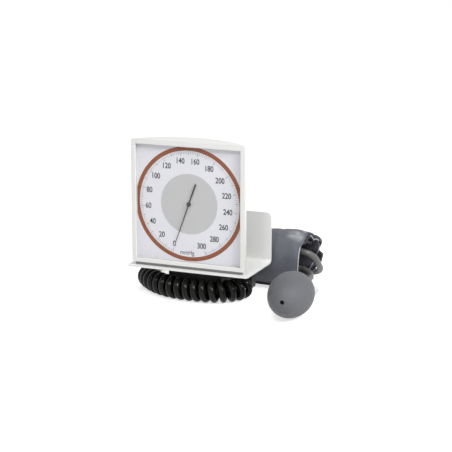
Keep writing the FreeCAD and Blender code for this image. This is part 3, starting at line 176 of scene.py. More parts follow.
def clear_window():
    made, tree, shader = node_tree("clear_window")
    shader.inputs["Base Color"].default_value = (*WINDOW_TINT, 1)
    shader.inputs["Alpha"].default_value = WINDOW_ALPHA
    haze = spread(tree, noise_field(tree, scale=60), low=0.02, high=0.06)
    tree.links.new(haze, shader.inputs["Roughness"])
    return made


CLOTH_DARKER, CLOTH_LIGHTER = (0.098, 0.103, 0.124), (0.132, 0.138, 0.162)
# the second colour below is the lining's dark colour together with painted shade inside the roll and at its
# mouth
CLOTH_WORN, CLOTH_LINING_AND_SHADE = (0.30, 0.31, 0.33), (0.026, 0.026, 0.036)


def cuff_cloth():
    """Coated nylon: a fine plain weave, grey outside, with a dark lining. The mesh's depth attribute runs from
    0 outside to 1 in the roll and at its mouth, where it paints the lining's dark colour together with painted
    shade of the roll's inside; its worn attribute marks where the coat is rubbed pale."""
    made, tree, shader = node_tree("cuff_cloth")
    cloud = spread(tree, noise_field(tree, scale=45), 0, 1)
    outside = blend_colours(tree, cloud, CLOTH_DARKER, CLOTH_LIGHTER)
    streaks = noise_field(tree, scale=110, detail=4, stretch=(0.5, 1, 1))
    streaks = spread(tree, streaks, low=-0.3, high=1.3)
    rubbed = combine(tree, "MULTIPLY", mesh_field(tree, "worn"), streaks, use_clamp=True)
    with_wear = turn_towards(tree, rubbed, outside, CLOTH_WORN)
    # painted shade: the depth attribute turns the cloth dark inside the roll and at its mouth, with the
    # lining's colour
    whole = turn_towards(tree, mesh_field(tree, "depth"), with_wear, CLOTH_LINING_AND_SHADE)
    tree.links.new(whole, shader.inputs["Base Color"])
    gloss = spread(tree, noise_field(tree, scale=200), low=0.5, high=0.7)
    tree.links.new(gloss, shader.inputs["Roughness"])
    shader.inputs["Sheen Weight"].default_value = 0.1
    shader.inputs["Specular IOR Level"].default_value = 0.3
    weave = new_node(tree, "ShaderNodeTexWave", Scale=420, Distortion=2.0, bands_direction="X")
    place = new_node(tree, "ShaderNodeTexCoord")
    tree.links.new(place.outputs["Object"], weave.inputs["Vector"])
    threads = combine(tree, "ADD", weave.outputs["Fac"], noise_field(tree, scale=260, detail=6))
    add_bump(tree, shader, threads, height=0.12)
    return made


PRINTED = {"grain": 2500, "grain_height": 0.003}
WHITE_MOULDING = surface("white_moulding", (0.78, 0.785, 0.77), 0.34, grain=1500, grain_height=0.008,
                         tone=0.012, rough_spread=0.03, edge=0.7)
WHITE_COAT = surface("white_coat", (0.83, 0.835, 0.825), 0.4, grain=700, grain_height=0.012, tone=0.012,
                     edge=0.6)
BLACK_PLASTIC = surface("black_plastic", (0.028, 0.028, 0.03), 0.5, tone=0.12, edge=0.5)
BLACK_RUBBER = surface("black_rubber", (0.025, 0.025, 0.026), 0.75, tone=0.15)
BRIGHT_STEEL = metal("bright_steel", (0.62, 0.62, 0.63), 0.3)
BRASS = metal("turned_brass", (0.78, 0.6, 0.3), 0.28)
CAPSULE_METAL = metal("capsule_metal", (0.72, 0.52, 0.32), 0.3)
CHROME = metal("chrome", (0.82, 0.82, 0.84), 0.1, grain_height=0.002)
SEAL_GREY = surface("seal_grey", (0.62, 0.62, 0.63), 0.6, tone=0.03)
SPACER_GREY = surface("spacer_grey", (0.3, 0.3, 0.305), 0.55, tone=0.05)
KNOB_WHITE = surface("knob_white", (0.66, 0.665, 0.66), 0.3, tone=0.02, edge=0.3)
DIAL_WHITE = surface("dial_white", (0.76, 0.76, 0.805), 0.5, grain=2500, grain_height=0.004, tone=0.008)
PRINT_GREY = surface("print_grey", (0.52, 0.52, 0.525), 0.5, tone=0.01, **PRINTED)
PRINT_ORANGE = surface("print_orange", (0.265, 0.058, 0.006), 0.45, tone=0.03, Specular_IOR_Level=0.15,
                       **PRINTED)
PRINT_BLACK = surface("print_black", (0.012, 0.012, 0.015), 0.45, tone=0.05, Specular_IOR_Level=0.15,
                      **PRINTED)
POINTER_BLACK = surface("pointer_black", (0.012, 0.012, 0.013), 0.4, tone=0.1, Specular_IOR_Level=0.2)
HOSE_BLACK = surface("hose_black", (0.006, 0.0056, 0.005), 0.16, grain=300, grain_height=0.006, tone=0.2,
                     rough_spread=0.03, Specular_IOR_Level=0.16)
TUBE_GREY = surface("tube_grey", (0.105, 0.105, 0.1), 0.4, grain=500, grain_height=0.015, tone=0.08)
FITTING = surface("fitting_plastic", (0.6, 0.6, 0.58), 0.3, tone=0.03, edge=0.3)
BULB_RUBBER = surface("bulb_rubber", (0.122, 0.124, 0.136), 0.62, grain=1100, grain_height=0.03, tone=0.05,
                      Specular_IOR_Level=0.4)
CLOTH = cuff_cloth()
LINING = surface("cuff_lining", (0.03, 0.03, 0.05), 0.9, grain=900, grain_height=0.1, tone=0.15)
SELVAGE = surface("cuff_selvage", (0.55, 0.56, 0.60), 0.6, grain=2000, grain_height=0.05, tone=0.06)
WINDOW = clear_window()
FINISH_OF_SLOT = {
    "housing_white": WHITE_MOULDING, "tray_white": WHITE_COAT, "black_plastic": BLACK_PLASTIC,
    "rubber_black": BLACK_RUBBER, "steel": BRIGHT_STEEL, "brass": BRASS, "dial": DIAL_WHITE,
    "window": WINDOW, "pointer_black": POINTER_BLACK, "capsule_metal": CAPSULE_METAL,
    "hose_black": HOSE_BLACK, "tube_grey": TUBE_GREY, "fitting_plastic": FITTING, "cuff_cloth": CLOTH,
    "cuff_inside": LINING, "bulb_grey": BULB_RUBBER, "chrome": CHROME,
}
FINISH_OF_NODE = {"window_gasket": SEAL_GREY, "housing_spacer": SPACER_GREY, "valve_knob": KNOB_WHITE}


def finish_cad_nodes():
    """Every CAD node takes its own material, or else the one of its slot in the record."""
    for subpart in frame["record"]["subparts"]:
        node = subpart["node"]
        mesh = frame["nodes"][node].data
        mesh.materials.clear()
        mesh.materials.append(FINISH_OF_NODE.get(node, FINISH_OF_SLOT[subpart["material_slot"]]))


# ---------------------------------------------------------------- pieces
def add_object(name, data, material):
    """A piece that rides the base."""
    made = bpy.data.objects.new(name, data)
    bpy.context.scene.collection.objects.link(made)
    data.materials.append(material)
    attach(made, "base")
    return made


# ---------------------------------------------------------------- hoses
def nurbs_curve(name, points, radius=0.0):
    """A round tube along an open NURBS line that has these control points."""
    curve = bpy.data.curves.new(name, "CURVE")
    curve.dimensions = "3D"
    spline = curve.splines.new("NURBS")
    spline.points.add(len(points) - 1)
    for point, spot in zip(spline.points, points):
        point.co = (*(Vector(spot) * MM), 1)
    spline.order_u = 3
    spline.use_endpoint_u = True
    curve.bevel_depth = radius * MM
    curve.bevel_resolution = 6
    curve.use_fill_caps = True
    return curve


def read_line(points):
    """Close points along the NURBS line that has these control points."""
    curve = nurbs_curve("route", points)
    curve.resolution_u = 24
    carrier = bpy.data.objects.new("route", curve)
    mesh = bpy.data.meshes.new_from_object(carrier)
    line = [vertex.co / MM for vertex in mesh.vertices]
    bpy.data.meshes.remove(mesh)
    bpy.data.objects.remove(carrier)
    bpy.data.curves.remove(curve)
    return line


def evenly(line, count):
    """count points evenly spaced along a line, with the line's direction at each."""
    reach = [0.0]
    for before, after in zip(line, line[1:]):
        reach.append(reach[-1] + (after - before).length)
    spots, directions, step = [], [], 0
    for number in range(count):
        target = reach[-1] * number / (count - 1)
        while step < len(line) - 2 and reach[step + 1] < target:
            step += 1
        span = line[step + 1] - line[step]
        spots.append(line[step] + span * ((target - reach[step]) / span.length))
        directions.append(span.normalized())
    return spots, directions


HOSE_RADIUS, COIL_RADIUS, TUBE_RADIUS, LINK_RADIUS = 4.25, 14, 4, 3.5
COIL_TURNS = 17
POINTS_PER_TURN = 20
COIL_OPENING = 10         # the length over which the turns open out from a lead
COIL_EXTRA = 6.5          # how far the turns go on into each lead
WINDING_POWER = 2.5       # how slowly the winding starts where the turns open out
OPENING_POWER = 0.7       # how slowly the turns leave the line of the lead
COIL_ROUTE = [(-78.5, 19, 14), (-70.5, 4.5, 14), (-49.5, -15.5, 14), (-21, -28, 14), (10, -29.3, 14),
              (31, -26.5, 14), (45, -18.5, 14), (54, -4.5, 14), (54, 9.5, 14)]
GAUGE_END = (54, 19, 14)
CUFF_LEAD = [(-78.5, 19, 14), (-83.3, 27.7, 14), (-90.5, 43, 9.5), (-95, 66, 5), (-91, 92, 4.25),
             (-76, 113, 4.25), (-53, 125, 4.25), (-29, 130.3, 4.25), (-4, 131, 4.8), (20, 129, 6.2),
             (42, 129, 6.2)]
# rounder than the CAD route, as the photograph's tube lies
CUFF_TUBE = [(91, 75, 47), (97.5, 75, 47), (104.4, 75, 47), (110.6, 76.9, 45.3), (115.4, 80.5, 42.1),
             (118, 85.2, 38), (118.4, 91, 33), (118.4, 98.5, 26.6), (117.6, 106.8, 20.8),
             (115.2, 114.6, 15.6), (110.6, 121.4, 11.4), (104.2, 126.4, 8.5), (96.4, 129, 6.9),
             (88, 129.4, 6.2), (80, 129, 6.2)]
BULB_TUBE = [(127.46, 22.07, 23.48), (125.9, 37, 22.8), (125.3, 48.5, 22.3), (121.7, 60, 23),
             (114, 69, 24.5), (103.2, 74.6, 25), (91, 74.6, 25)]
LINK_HOSE = [(4.5, 8, 113.64), (14.8, 8, 101.4), (25, 14.5, 89), (34, 21, 76.5), (40, 27, 63),
             (40, 27, 48)]


def beyond(last, before):
    """The point COIL_EXTRA past a route's last point."""
    return Vector(last) + (Vector(last) - Vector(before)).normalized() * COIL_EXTRA


def wound(along):
    """How much of the winding lies between the coil's end and a point along it: it starts slowly, and then
    runs on evenly."""
    share = min(along / COIL_OPENING, 1)
    return COIL_OPENING * share ** WINDING_POWER / WINDING_POWER + max(along - COIL_OPENING, 0)


def coil_points():
    """The curly hose's turns round its route, from the gauge's end to the cuff's."""
    line = read_line([beyond(*COIL_ROUTE[:-3:-1]), *COIL_ROUTE[::-1], beyond(*COIL_ROUTE[:2])])
    total = sum((after - before).length for before, after in zip(line, line[1:]))
    count = COIL_TURNS * POINTS_PER_TURN + 1
    points = []
    for number, (spot, direction) in enumerate(zip(*evenly(line, count))):
        along = total * number / (count - 1)
        nearer = min(along, total - along)
        share = min(nearer / COIL_OPENING, 1)
        reach = (COIL_RADIUS - HOSE_RADIUS) * (1 - (1 - share) ** 2) * share ** OPENING_POWER
        turned = wound(nearer) / (2 * wound(total / 2))
        angle = 2 * math.pi * COIL_TURNS * (turned if along < total / 2 else 1 - turned)
        across = direction.cross(UP).normalized()
        points.append(spot + across * reach * math.sin(angle) + UP * reach * math.cos(angle))
    return points


def make_hoses():
    plug, socket = frame["nodes"]["connector_plug"], frame["nodes"]["connector_socket"]
    line = [GAUGE_END, *coil_points(), *CUFF_LEAD[1:]]
    curly = add_object("curly_hose", nurbs_curve("curly_hose", line, HOSE_RADIUS), HOSE_BLACK)
    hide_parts("coil_hose", "coil_lead_gauge", "coil_lead_cuff")
    for name, node, route, radius, length, end, pieces, material, slot in (
            ("cuff_hose", "cuff_tube", CUFF_TUBE, TUBE_RADIUS, 0.113, "connector", [socket],
             TUBE_GREY, "tube_grey"),
            ("bulb_hose", "bulb_tube", BULB_TUBE, TUBE_RADIUS, 0.074, "object", [],
             TUBE_GREY, "tube_grey"),
            ("link_tube", "link_hose", LINK_HOSE, LINK_RADIUS, 0.080, "object", [],
             HOSE_BLACK, "hose_black")):
        hose = add_object(name, nurbs_curve(name, route, radius), material)
        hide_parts(node)


# ---------------------------------------------------------------- dial
DIAL_X, DIAL_Y, DIAL_Z = 0, -30.5, 119
ZERO_ANGLE, SWEEP, FULL_SCALE = 20, 320, 300
PRINT_HEIGHT = 0.04                     # how far the print stands off the dial
DISC_HEIGHT = PRINT_HEIGHT / 2          # the disc lies under the rest of the print
RING_INNER, RING_OUTER, DISC_RADIUS, ROUND_STEPS = 64.3, 69.4, 36.5, 180
TICK_OUTER = 63.6
TICKS = ((20, 58.2, 0.22), (10, 59.3, 0.22), (2, 60.6, 0.14))   # each step's inner radius and half width
FIGURE_STEP, FIGURE_HEIGHT = 20, 7.0
FIGURES_ACROSS, FIGURES_UP = 51.6, 52.6                         # the radii on which the figures stand
FIGURES_X, FIGURES_Z = -1.7, -0.4                               # and their middle, from the dial's
FIGURE_SQUEEZE, FIGURE_BOLD = 0.82, 0.02
UNIT_X, UNIT_Z, UNIT_SQUEEZE, UNIT_BOLD = -2.7, -59.3, 0.9, 0.006
SLIVER = 1e-7             # a letter's face smaller than this, in its own units, is left out


def scale_angle(value):
    """Where a pressure stands on the dial, in degrees clockwise from straight down."""
    return ZERO_ANGLE + SWEEP * value / FULL_SCALE


def dial_point(radius, angle, height=PRINT_HEIGHT):
    """A point on the dial in metres, at an angle in degrees clockwise from straight down."""
    turn = math.radians(angle)
    return Vector((DIAL_X - radius * math.sin(turn), DIAL_Y - height, DIAL_Z - radius * math.cos(turn))) * MM


def add_round(shape, height, *radii):
    """Adds a ring between two radii to a bmesh on the dial, or a disc where there is one."""
    rims = [[shape.verts.new(dial_point(radius, 360 * step / ROUND_STEPS, height))
             for step in range(ROUND_STEPS)] for radius in radii]
    if len(rims) == 1:
        shape.faces.new(rims[0])
        return
    for step in range(ROUND_STEPS):
        following = (step + 1) % ROUND_STEPS
        shape.faces.new((rims[0][step], rims[1][step], rims[1][following], rims[0][following]))


def add_ticks(shape):
    """A tick for every 2 mmHg, longer at every 10 and longest at every 20."""
    for value in range(0, FULL_SCALE + 1, TICKS[-1][0]):
        inner, half = next((inner, half) for every, inner, half in TICKS if value % every == 0)
        corners = ((inner, -half), (TICK_OUTER, -half), (TICK_OUTER, half), (inner, half))
        shape.faces.new([shape.verts.new(dial_point(radius, scale_angle(value) + math.degrees(side / radius)))
                         for radius, side in corners])


def flat_mesh(name, build):
    """A flat mesh made by build on a bmesh, with every face towards the reader."""
    shape = bmesh.new()
    build(shape)
    shape.normal_update()
    bmesh.ops.reverse_faces(shape, faces=[face for face in shape.faces if face.normal.y > 0])
    mesh = bpy.data.meshes.new(name)
    shape.to_mesh(mesh)
    shape.free()
    return mesh


def text_outline(text, height, centre, squeeze, bold):
    """A word's points on the dial and its faces. height is from the top of its letters to their foot."""
    curve = bpy.data.curves.new("word", "FONT")
    curve.body = text
    curve.align_x, curve.align_y = "CENTER", "CENTER"
    curve.offset = bold
    curve.resolution_u = 6
    carrier = bpy.data.objects.new("word", curve)
    mesh = bpy.data.meshes.new_from_object(carrier)
    heights = [vertex.co.y for vertex in mesh.vertices]
    scale = height / (max(heights) - min(heights))
    points = [centre + Vector((vertex.co.x * scale * squeeze, -PRINT_HEIGHT, vertex.co.y * scale))
              for vertex in mesh.vertices]
    faces = [tuple(face.vertices) for face in mesh.polygons if face.area > SLIVER]
    for data, owner in ((carrier, bpy.data.objects), (mesh, bpy.data.meshes), (curve, bpy.data.curves)):
        owner.remove(data)
    return points, faces


def make_figures():
    """The scale's figures, upright, and the unit below."""
    words = []
    for value in range(0, FULL_SCALE + 1, FIGURE_STEP):
        turn = math.radians(scale_angle(value))
        words.append((str(value), FIGURES_X - FIGURES_ACROSS * math.sin(turn),
                      FIGURES_Z - FIGURES_UP * math.cos(turn), FIGURE_SQUEEZE, FIGURE_BOLD))
    words.append(("mmHg", UNIT_X, UNIT_Z, UNIT_SQUEEZE, UNIT_BOLD))
    points, faces = [], []
    for text, x, z, squeeze, bold in words:
        centre = Vector((DIAL_X + x, DIAL_Y, DIAL_Z + z))
        more, sides = text_outline(text, FIGURE_HEIGHT, centre, squeeze, bold)
        faces += [tuple(index + len(points) for index in side) for side in sides]
        points += more
    mesh = bpy.data.meshes.new("dial_figures")
    mesh.from_pydata([point * MM for point in points], [], faces)
    return mesh


def make_dial_print():
    ring = flat_mesh("dial_ring", lambda shape: add_round(shape, PRINT_HEIGHT, RING_OUTER, RING_INNER))
    disc = flat_mesh("dial_disc", lambda shape: add_round(shape, DISC_HEIGHT, DISC_RADIUS))
    add_object("dial_ring", ring, PRINT_ORANGE)
    add_object("dial_disc", disc, PRINT_GREY)
    add_object("dial_ticks", flat_mesh("dial_ticks", add_ticks), PRINT_BLACK)
    add_object("dial_figures", make_figures(), PRINT_BLACK)


# ---------------------------------------------------------------- cuff
# Turns count in from the cloth's outer end. Angles round the roll are in degrees from the back, over the top.
# A pair is where something starts and where it is complete, in turns or in millimetres along X. Four angles
# are where it starts, where it is complete, where it fades and where it ends.
CUFF_Y, CUFF_Z, CUFF_RADIUS = 77.5, 35.5, 35.5
CLOTH_THICKNESS = 3.2
ROLL_TURNS, OUTER_PITCH, INNER_PITCH = 5.1, 3.5, 5.6
ROLL_START = -100                       # where the outer end lies, under the roll
RAGGED_ALONG, RAGGED_ROUND = 2.1, 3.4   # how often both edges run in and out, with the turns and round them
CUFF_LEFT, LEFT_STEP, LEFT_TURNS = -35, 2.5, (0.75, 1.1)        # the left edge, and its step inwards
# how far right the cloth reaches at an angle, in its outer and its inner turns
OUTER_REACH = ((-100, 101), (-45, 109), (-28, 111.5), (-12, 118), (2, 119.8), (13, 115), (26, 118),
               (42, 118.6), (62, 114.5), (92, 111.5), (150, 110), (260, 110))
INNER_REACH = ((-100, 100), (-50, 105), (-30, 107), (-8, 110), (15, 115), (45, 116.5), (75, 116),
               (100, 113), (130, 104), (180, 100), (260, 100))
INNER_TURNS, INNER_RAGGED = (0.97, 1.08), 3             # the inner turns' right edge is more ragged
THIRD_TURNS, THIRD_STEP = (1.9, 2.1), 7                 # from the third turn on it stops this much sooner
BLADDER_TURNS, BLADDER_MOUTH = (2.7, 3.0), 91           # and the inmost turns end here, round the tubes
TOP_SWELL, TOP_SECTOR, TOP_RISE = 3.7, (0, 60, 100, 175), (25, 92)      # the top rises towards the mouth
LIP_SINK, LIP_FALL = 1.2, (96, 116)     # and sinks at its lip, by this many times the swell
WAVE_LENGTH, WAVE_ROUND = 30, 1.7       # the slow waves all over the roll, along it and round it
SLOW_WAVES, QUICK_WAVES, QUICKER = 0.7, 0.3, 3.1        # their height, and that of the quicker ones
CREASES = ((61, 1.6, 0.5), (76, 2.2, 0.7))      # where a crease runs round the roll, its width and depth
CREASE_SECTOR = (40, 90, 200, 240)
CRUMPLE_START, CRUMPLE_SECTOR = (99, 117), (-60, -15, 120, 200)         # the crumpled mouth
PLEAT_LENGTH, PLEAT_ROUND, PLEAT_SHIFT = 26, 2.3, 4.1
FINE_LENGTH, FINE_ROUND = 9, 6.5
OUTER_PLEATS, INNER_PLEATS, FINE_PLEATS = 6, 5, 1.6     # heights; inner pleats add to the outer ones
PLEAT_TURNS = (0.95, 1.2)               # where the inner pleats start
FLOOR_GAP = 0.05
LINING_AND_SHADE_TURNS = (0.8, 1.3)               # where the cloth turns dark: the lining's colour, with painted shade inside the roll
# painted shade at the mouth, with the lining's dark colour: its strength, where it starts along X, and round
# the roll
MOUTH_SHADE, MOUTH_START, MOUTH_SECTOR = 0.85, (108, 114), (-70, -30, 85, 115)
WORN_START, WORN_END, WORN_SECTOR = (86, 97), (107, 111), (62, 80, 112, 132)
COLUMNS_PER_TURN, ROWS, ROW_GATHER = 90, 56, 1.5        # rows gather towards the crumpled end
EDGE_ROUND, SHARP_ANGLE = 1.1, 60
EDGE_CORD_POINTS = 60                   # to one turn
CORD_SINK, SELVAGE_RADIUS, PIPING_PROUD, PIPING_RADIUS = 0.3, 0.42, 0.3, 0.45
SELVAGE_TURNS, PIPING_TURNS = (0.66, 0.99), (1.12, 1.52)


def smooth_step(low, high, value):
    share = min(max((value - low) / (high - low), 0), 1)
    return share * share * (3 - 2 * share)


def sector(angle, low, full, fading, high):
    """1 between the angles full and fading, 0 outside low and high."""
    wrapped = (angle + 180) % 360 - 180
    return smooth_step(low, full, wrapped) * (1 - smooth_step(fading, high, wrapped))


def reach_at(table, angle):
    """A reach read from its table, eased from one entry to the next."""
    for (low, before), (high, after) in zip(table, table[1:]):
        if angle <= high:
            return before + (after - before) * smooth_step(low, high, angle)
    return table[-1][1]


def right_edge(turn, angle, ragged):
    """How far right the cloth reaches: the outer turn, the inner ones, and the inmost round the tubes."""
    wrapped = (angle - ROLL_START) % 360 + ROLL_START
    outer = reach_at(OUTER_REACH, wrapped) + ragged
    inner = reach_at(INNER_REACH, wrapped) + INNER_RAGGED * ragged
    inner -= THIRD_STEP * smooth_step(*THIRD_TURNS, turn)
    reach = outer + (inner - outer) * smooth_step(*INNER_TURNS, turn)
    return reach + (BLADDER_MOUTH - reach) * smooth_step(*BLADDER_TURNS, turn)


def roll_point(turn, share, proud=0.0):
    """A point of the rolled cuff: turns in from its outer end, and share of its width from left to right."""
    angle = ROLL_START + 360 * turn
    back, up = math.cos(math.radians(angle)), math.sin(math.radians(angle))
    ragged = noise.noise(Vector((RAGGED_ALONG * turn, RAGGED_ROUND * back, RAGGED_ROUND * up)))
    left = CUFF_LEFT + LEFT_STEP * smooth_step(*LEFT_TURNS, turn) + ragged
    x = left + (right_edge(turn, angle, ragged) - left) * share
    radius = CUFF_RADIUS - CLOTH_THICKNESS / 2 - OUTER_PITCH * min(turn, 1) - INNER_PITCH * max(turn - 1, 0)
    scale = max(radius / CUFF_RADIUS, 0)
    top = sector(angle, *TOP_SECTOR)
    radius += TOP_SWELL * top * scale * (smooth_step(*TOP_RISE, x) - LIP_SINK * smooth_step(*LIP_FALL, x))
    around = Vector((x / WAVE_LENGTH, WAVE_ROUND * back, WAVE_ROUND * up))
    radius += SLOW_WAVES * noise.noise(around) + QUICK_WAVES * noise.noise(around * QUICKER)
    for place, width, depth in CREASES:
        radius -= depth * math.exp(-((x - place) / width) ** 2) * sector(angle, *CREASE_SECTOR)
    crumpled = smooth_step(*CRUMPLE_START, x) * sector(angle, *CRUMPLE_SECTOR)
    pleats = noise.noise(Vector((x / PLEAT_LENGTH, PLEAT_ROUND * back, PLEAT_ROUND * up + PLEAT_SHIFT)))
    fine = noise.noise(Vector((x / FINE_LENGTH, FINE_ROUND * back, FINE_ROUND * up)))
    inner = smooth_step(*PLEAT_TURNS, turn)
    radius += crumpled * ((OUTER_PLEATS + INNER_PLEATS * inner) * pleats + FINE_PLEATS * fine) + proud
    z = CUFF_Z + radius * up
    return Vector((x, CUFF_Y + radius * back, max(z, CLOTH_THICKNESS / 2 + FLOOR_GAP)))


def shade_depth(turn, spot):
    """0 where the cloth shows its outside, towards 1 where it is painted dark: the lining's dark colour with
    painted shade, within the roll and at the mouth."""
    angle = ROLL_START + 360 * turn
    mouth = smooth_step(*MOUTH_START, spot.x) * sector(angle, *MOUTH_SECTOR)
    return max(smooth_step(*LINING_AND_SHADE_TURNS, turn), MOUTH_SHADE * mouth)


def shade_worn(turn, spot):
    """1 on the top of the roll beside its mouth, where the coat is creased and rubbed."""
    angle = ROLL_START + 360 * turn
    beside = smooth_step(*WORN_START, spot.x) * (1 - smooth_step(*WORN_END, spot.x))
    return beside * sector(angle, *WORN_SECTOR) if turn < 1 else 0.0


def make_cuff_roll():
    """The cuff as one cloth, rolled up: its spiral of turns, crumpled where the inner ones stand out."""
    columns = int(ROLL_TURNS * COLUMNS_PER_TURN)
    points, lining_and_shades, rubs = [], [], []
    for column in range(columns + 1):
        turn = ROLL_TURNS * column / columns
        for row in range(ROWS + 1):
            spot = roll_point(turn, 1 - (1 - row / ROWS) ** ROW_GATHER)
            points.append(spot * MM)
            lining_and_shades.append(shade_depth(turn, spot))
            rubs.append(shade_worn(turn, spot))
    faces = []
    for column in range(columns):
        for row in range(ROWS):
            low = column * (ROWS + 1) + row
            faces.append((low, low + 1, low + ROWS + 2, low + ROWS + 1))
    mesh = bpy.data.meshes.new("cuff_roll")
    mesh.from_pydata(points, [], faces)
    # the depth attribute carries the painted shade inside the roll and at its mouth, with the lining's dark
    # colour
    mesh.attributes.new("depth", "FLOAT", "POINT").data.foreach_set("value", lining_and_shades)
    mesh.attributes.new("worn", "FLOAT", "POINT").data.foreach_set("value", rubs)
    mesh.shade_smooth()
    roll = add_object("cuff_roll", mesh, CLOTH)
    thick = roll.modifiers.new("thickness", "SOLIDIFY")
    thick.thickness = CLOTH_THICKNESS * MM
    thick.offset = 0
    soft = roll.modifiers.new("soft_edge", "BEVEL")
    soft.width = EDGE_ROUND * MM
    soft.segments = 3
    soft.limit_method = "ANGLE"
    soft.angle_limit = math.radians(SHARP_ANGLE)
    return roll


def edge_cord(name, turns, proud, radius):
    """A pale cord along the cloth's right edge, from one turn to another."""
    first, last = turns
    count = int((last - first) * EDGE_CORD_POINTS) + 1
    spots = [roll_point(first + (last - first) * number / (count - 1), 1.0, proud)
             for number in range(count)]
    return add_object(name, nurbs_curve(name, spots, radius), SELVAGE)


def make_cuff():
    roll = make_cuff_roll()
    selvage = edge_cord("cuff_selvage", SELVAGE_TURNS, CLOTH_THICKNESS / 2 - CORD_SINK, SELVAGE_RADIUS)
    piping = edge_cord("cuff_piping", PIPING_TURNS, PIPING_PROUD, PIPING_RADIUS)
    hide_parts("cuff_wrap", "cuff_core")


# ---------------------------------------------------------------- bulb
BULB_CENTRE = Vector((134.4, -44, 26.5))
BULB_HEADING, BULB_TILT = -84, 2.6
BULB_RADIUS, BULB_END, BULB_HALF, BULB_WALL = 26.5, 20, 43.5, 2.5
NECK_RADIUS, NECK_BORE, NECK_END, NECK_EDGE = 9, 6.1, 49, 0.6
NECK_BLEND = 0.06         # how far past the neck's radius the end's arc goes on, in radians
NECK_FILLET = ((0.25, 0.9), (0, 2.0))           # steps out and down from the end's arc to the neck
# the inlet's hole, and its softened edge: EDGE wider outside, LIP down, and INSET narrower at DEPTH
HOLE, HOLE_EDGE, HOLE_LIP, HOLE_INSET, HOLE_DEPTH = 2.6, 0.45, 0.35, 0.1, 1.6
PARTING_HEIGHT, PARTING_WIDTH, PARTING_FROM = 0.16, 0.7, 8      # the mould's line, on the skin from a radius
BULB_STEPS = 128


def steps_between(first, last, count):
    """count values after first, up to last."""
    return [first + (last - first) * step / count for step in range(1, count + 1)]


def bulb_outline():
    """The bulb's outline as (radius, station) from the inlet's hole over the skin to the neck, and back in
    the wall. Its second result is how many of its points lie on the skin."""
    end_centre = BULB_HALF - BULB_END
    flank = (BULB_RADIUS ** 2 + end_centre ** 2 - BULB_END ** 2) / (2 * (BULB_RADIUS - BULB_END))
    flank_centre = BULB_RADIUS - flank
    meet = math.atan2(end_centre, flank - BULB_RADIUS)
    start = math.asin((HOLE + HOLE_EDGE) / BULB_END)
    neck = math.asin(NECK_RADIUS / BULB_END) + NECK_BLEND

    def on_end(radius, angle, side):
        return radius * math.sin(angle), side * (end_centre + radius * math.cos(angle))

    def on_flank(radius, station):
        return flank_centre + math.sqrt(radius ** 2 - station ** 2), station

    rim = math.sqrt(BULB_END ** 2 - HOLE ** 2) + end_centre
    skin = [(HOLE - HOLE_INSET, rim - HOLE_DEPTH), (HOLE, rim - HOLE_LIP)]
    skin += [on_end(BULB_END, angle, 1) for angle in [start, *steps_between(start, meet, count=24)]]
    shoulder = skin[-1][1]
    meet = math.asin(skin[-1][0] / BULB_END)
    skin += [on_flank(flank, station) for station in steps_between(shoulder, -shoulder, count=40)[:-1]]
    skin += [on_end(BULB_END, angle, -1) for angle in [meet, *steps_between(meet, neck, count=20)]]
    neck_top = skin[-1][1]
    skin += [(NECK_RADIUS + out, neck_top - down) for out, down in NECK_FILLET]
    skin += [(NECK_RADIUS, -NECK_END + NECK_EDGE), (NECK_RADIUS - NECK_EDGE, -NECK_END),
             (NECK_BORE, -NECK_END)]

    end, side = BULB_END - BULB_WALL, flank - BULB_WALL
    bore, hole = math.asin(NECK_BORE / end), math.asin((HOLE - HOLE_INSET) / end)
    shoulder = end_centre + end * math.cos(meet)
    wall = [on_end(end, angle, -1) for angle in [bore, *steps_between(bore, meet, count=12)]]
    wall += [on_flank(side, station) for station in steps_between(-shoulder, shoulder, count=30)[:-1]]
    wall += [on_end(end, angle, 1) for angle in [meet, *steps_between(meet, hole, count=16)]]
    return skin + wall, len(skin)


def make_bulb():
    """The rubber bulb: a lathe of its outline, with the mould's parting line on the skin."""
    outline, on_skin = bulb_outline()
    heading = Matrix.Rotation(math.radians(BULB_HEADING), 4, "Z")
    tilt = Matrix.Rotation(math.radians(90 - BULB_TILT), 4, "Y")
    turned = heading @ tilt
    points, faces = [], []
    for ring, (radius, station) in enumerate(outline):
        for step in range(BULB_STEPS):
            angle = 2 * math.pi * step / BULB_STEPS
            reach = radius
            if ring < on_skin and radius > PARTING_FROM:
                reach += PARTING_HEIGHT * math.exp(-(math.sin(angle) * radius / PARTING_WIDTH) ** 2)
            spot = Vector((reach * math.cos(angle), reach * math.sin(angle), station))
            points.append((BULB_CENTRE + turned @ spot) * MM)
    for ring in range(len(outline)):
        beside = (ring + 1) % len(outline)
        for step in range(BULB_STEPS):
            following = (step + 1) % BULB_STEPS
            faces.append((ring * BULB_STEPS + following, ring * BULB_STEPS + step,
                          beside * BULB_STEPS + step, beside * BULB_STEPS + following))
    mesh = bpy.data.meshes.new("rubber_bulb")
    mesh.from_pydata(points, [], faces)
    mesh.shade_smooth()
    bulb = add_object("rubber_bulb", mesh, BULB_RUBBER)
    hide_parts("bulb")


# ---------------------------------------------------------------- floor, lights and camera
# Places and sides are in metres here, and the camera's lens and sensor in millimetres.
WORLD_LIGHT, FLOOR_GLOW = 0.42, 0.64
FLOOR_REACH, FLOOR_GREY = 6, 0.8
LAMPS_AIM = (0, 0, 0.08)
LAMPS = (("key", (1.6, -0.6, 1.35), 0.7, 32), ("front", (0.1, -1.4, 1.6), 0.3, 10))     # side, then watts
CAMERA_LENS, CAMERA_SENSOR = 119.47, 36
CAMERA_PLACE, CAMERA_PITCH, CAMERA_YAW = (0.70512, -1.61311, 0.50079), 76.74, 22.57


def seen_plainly(tree):
    """1 for a ray from the camera, a mirror or a clear piece, which see the white background."""
    path = new_node(tree, "ShaderNodeLightPath")
    total = path.outputs["Is Camera Ray"]
    for kind in ("Is Glossy Ray", "Is Transmission Ray"):
        total = combine(tree, "MAXIMUM", total, path.outputs[kind])
    return total


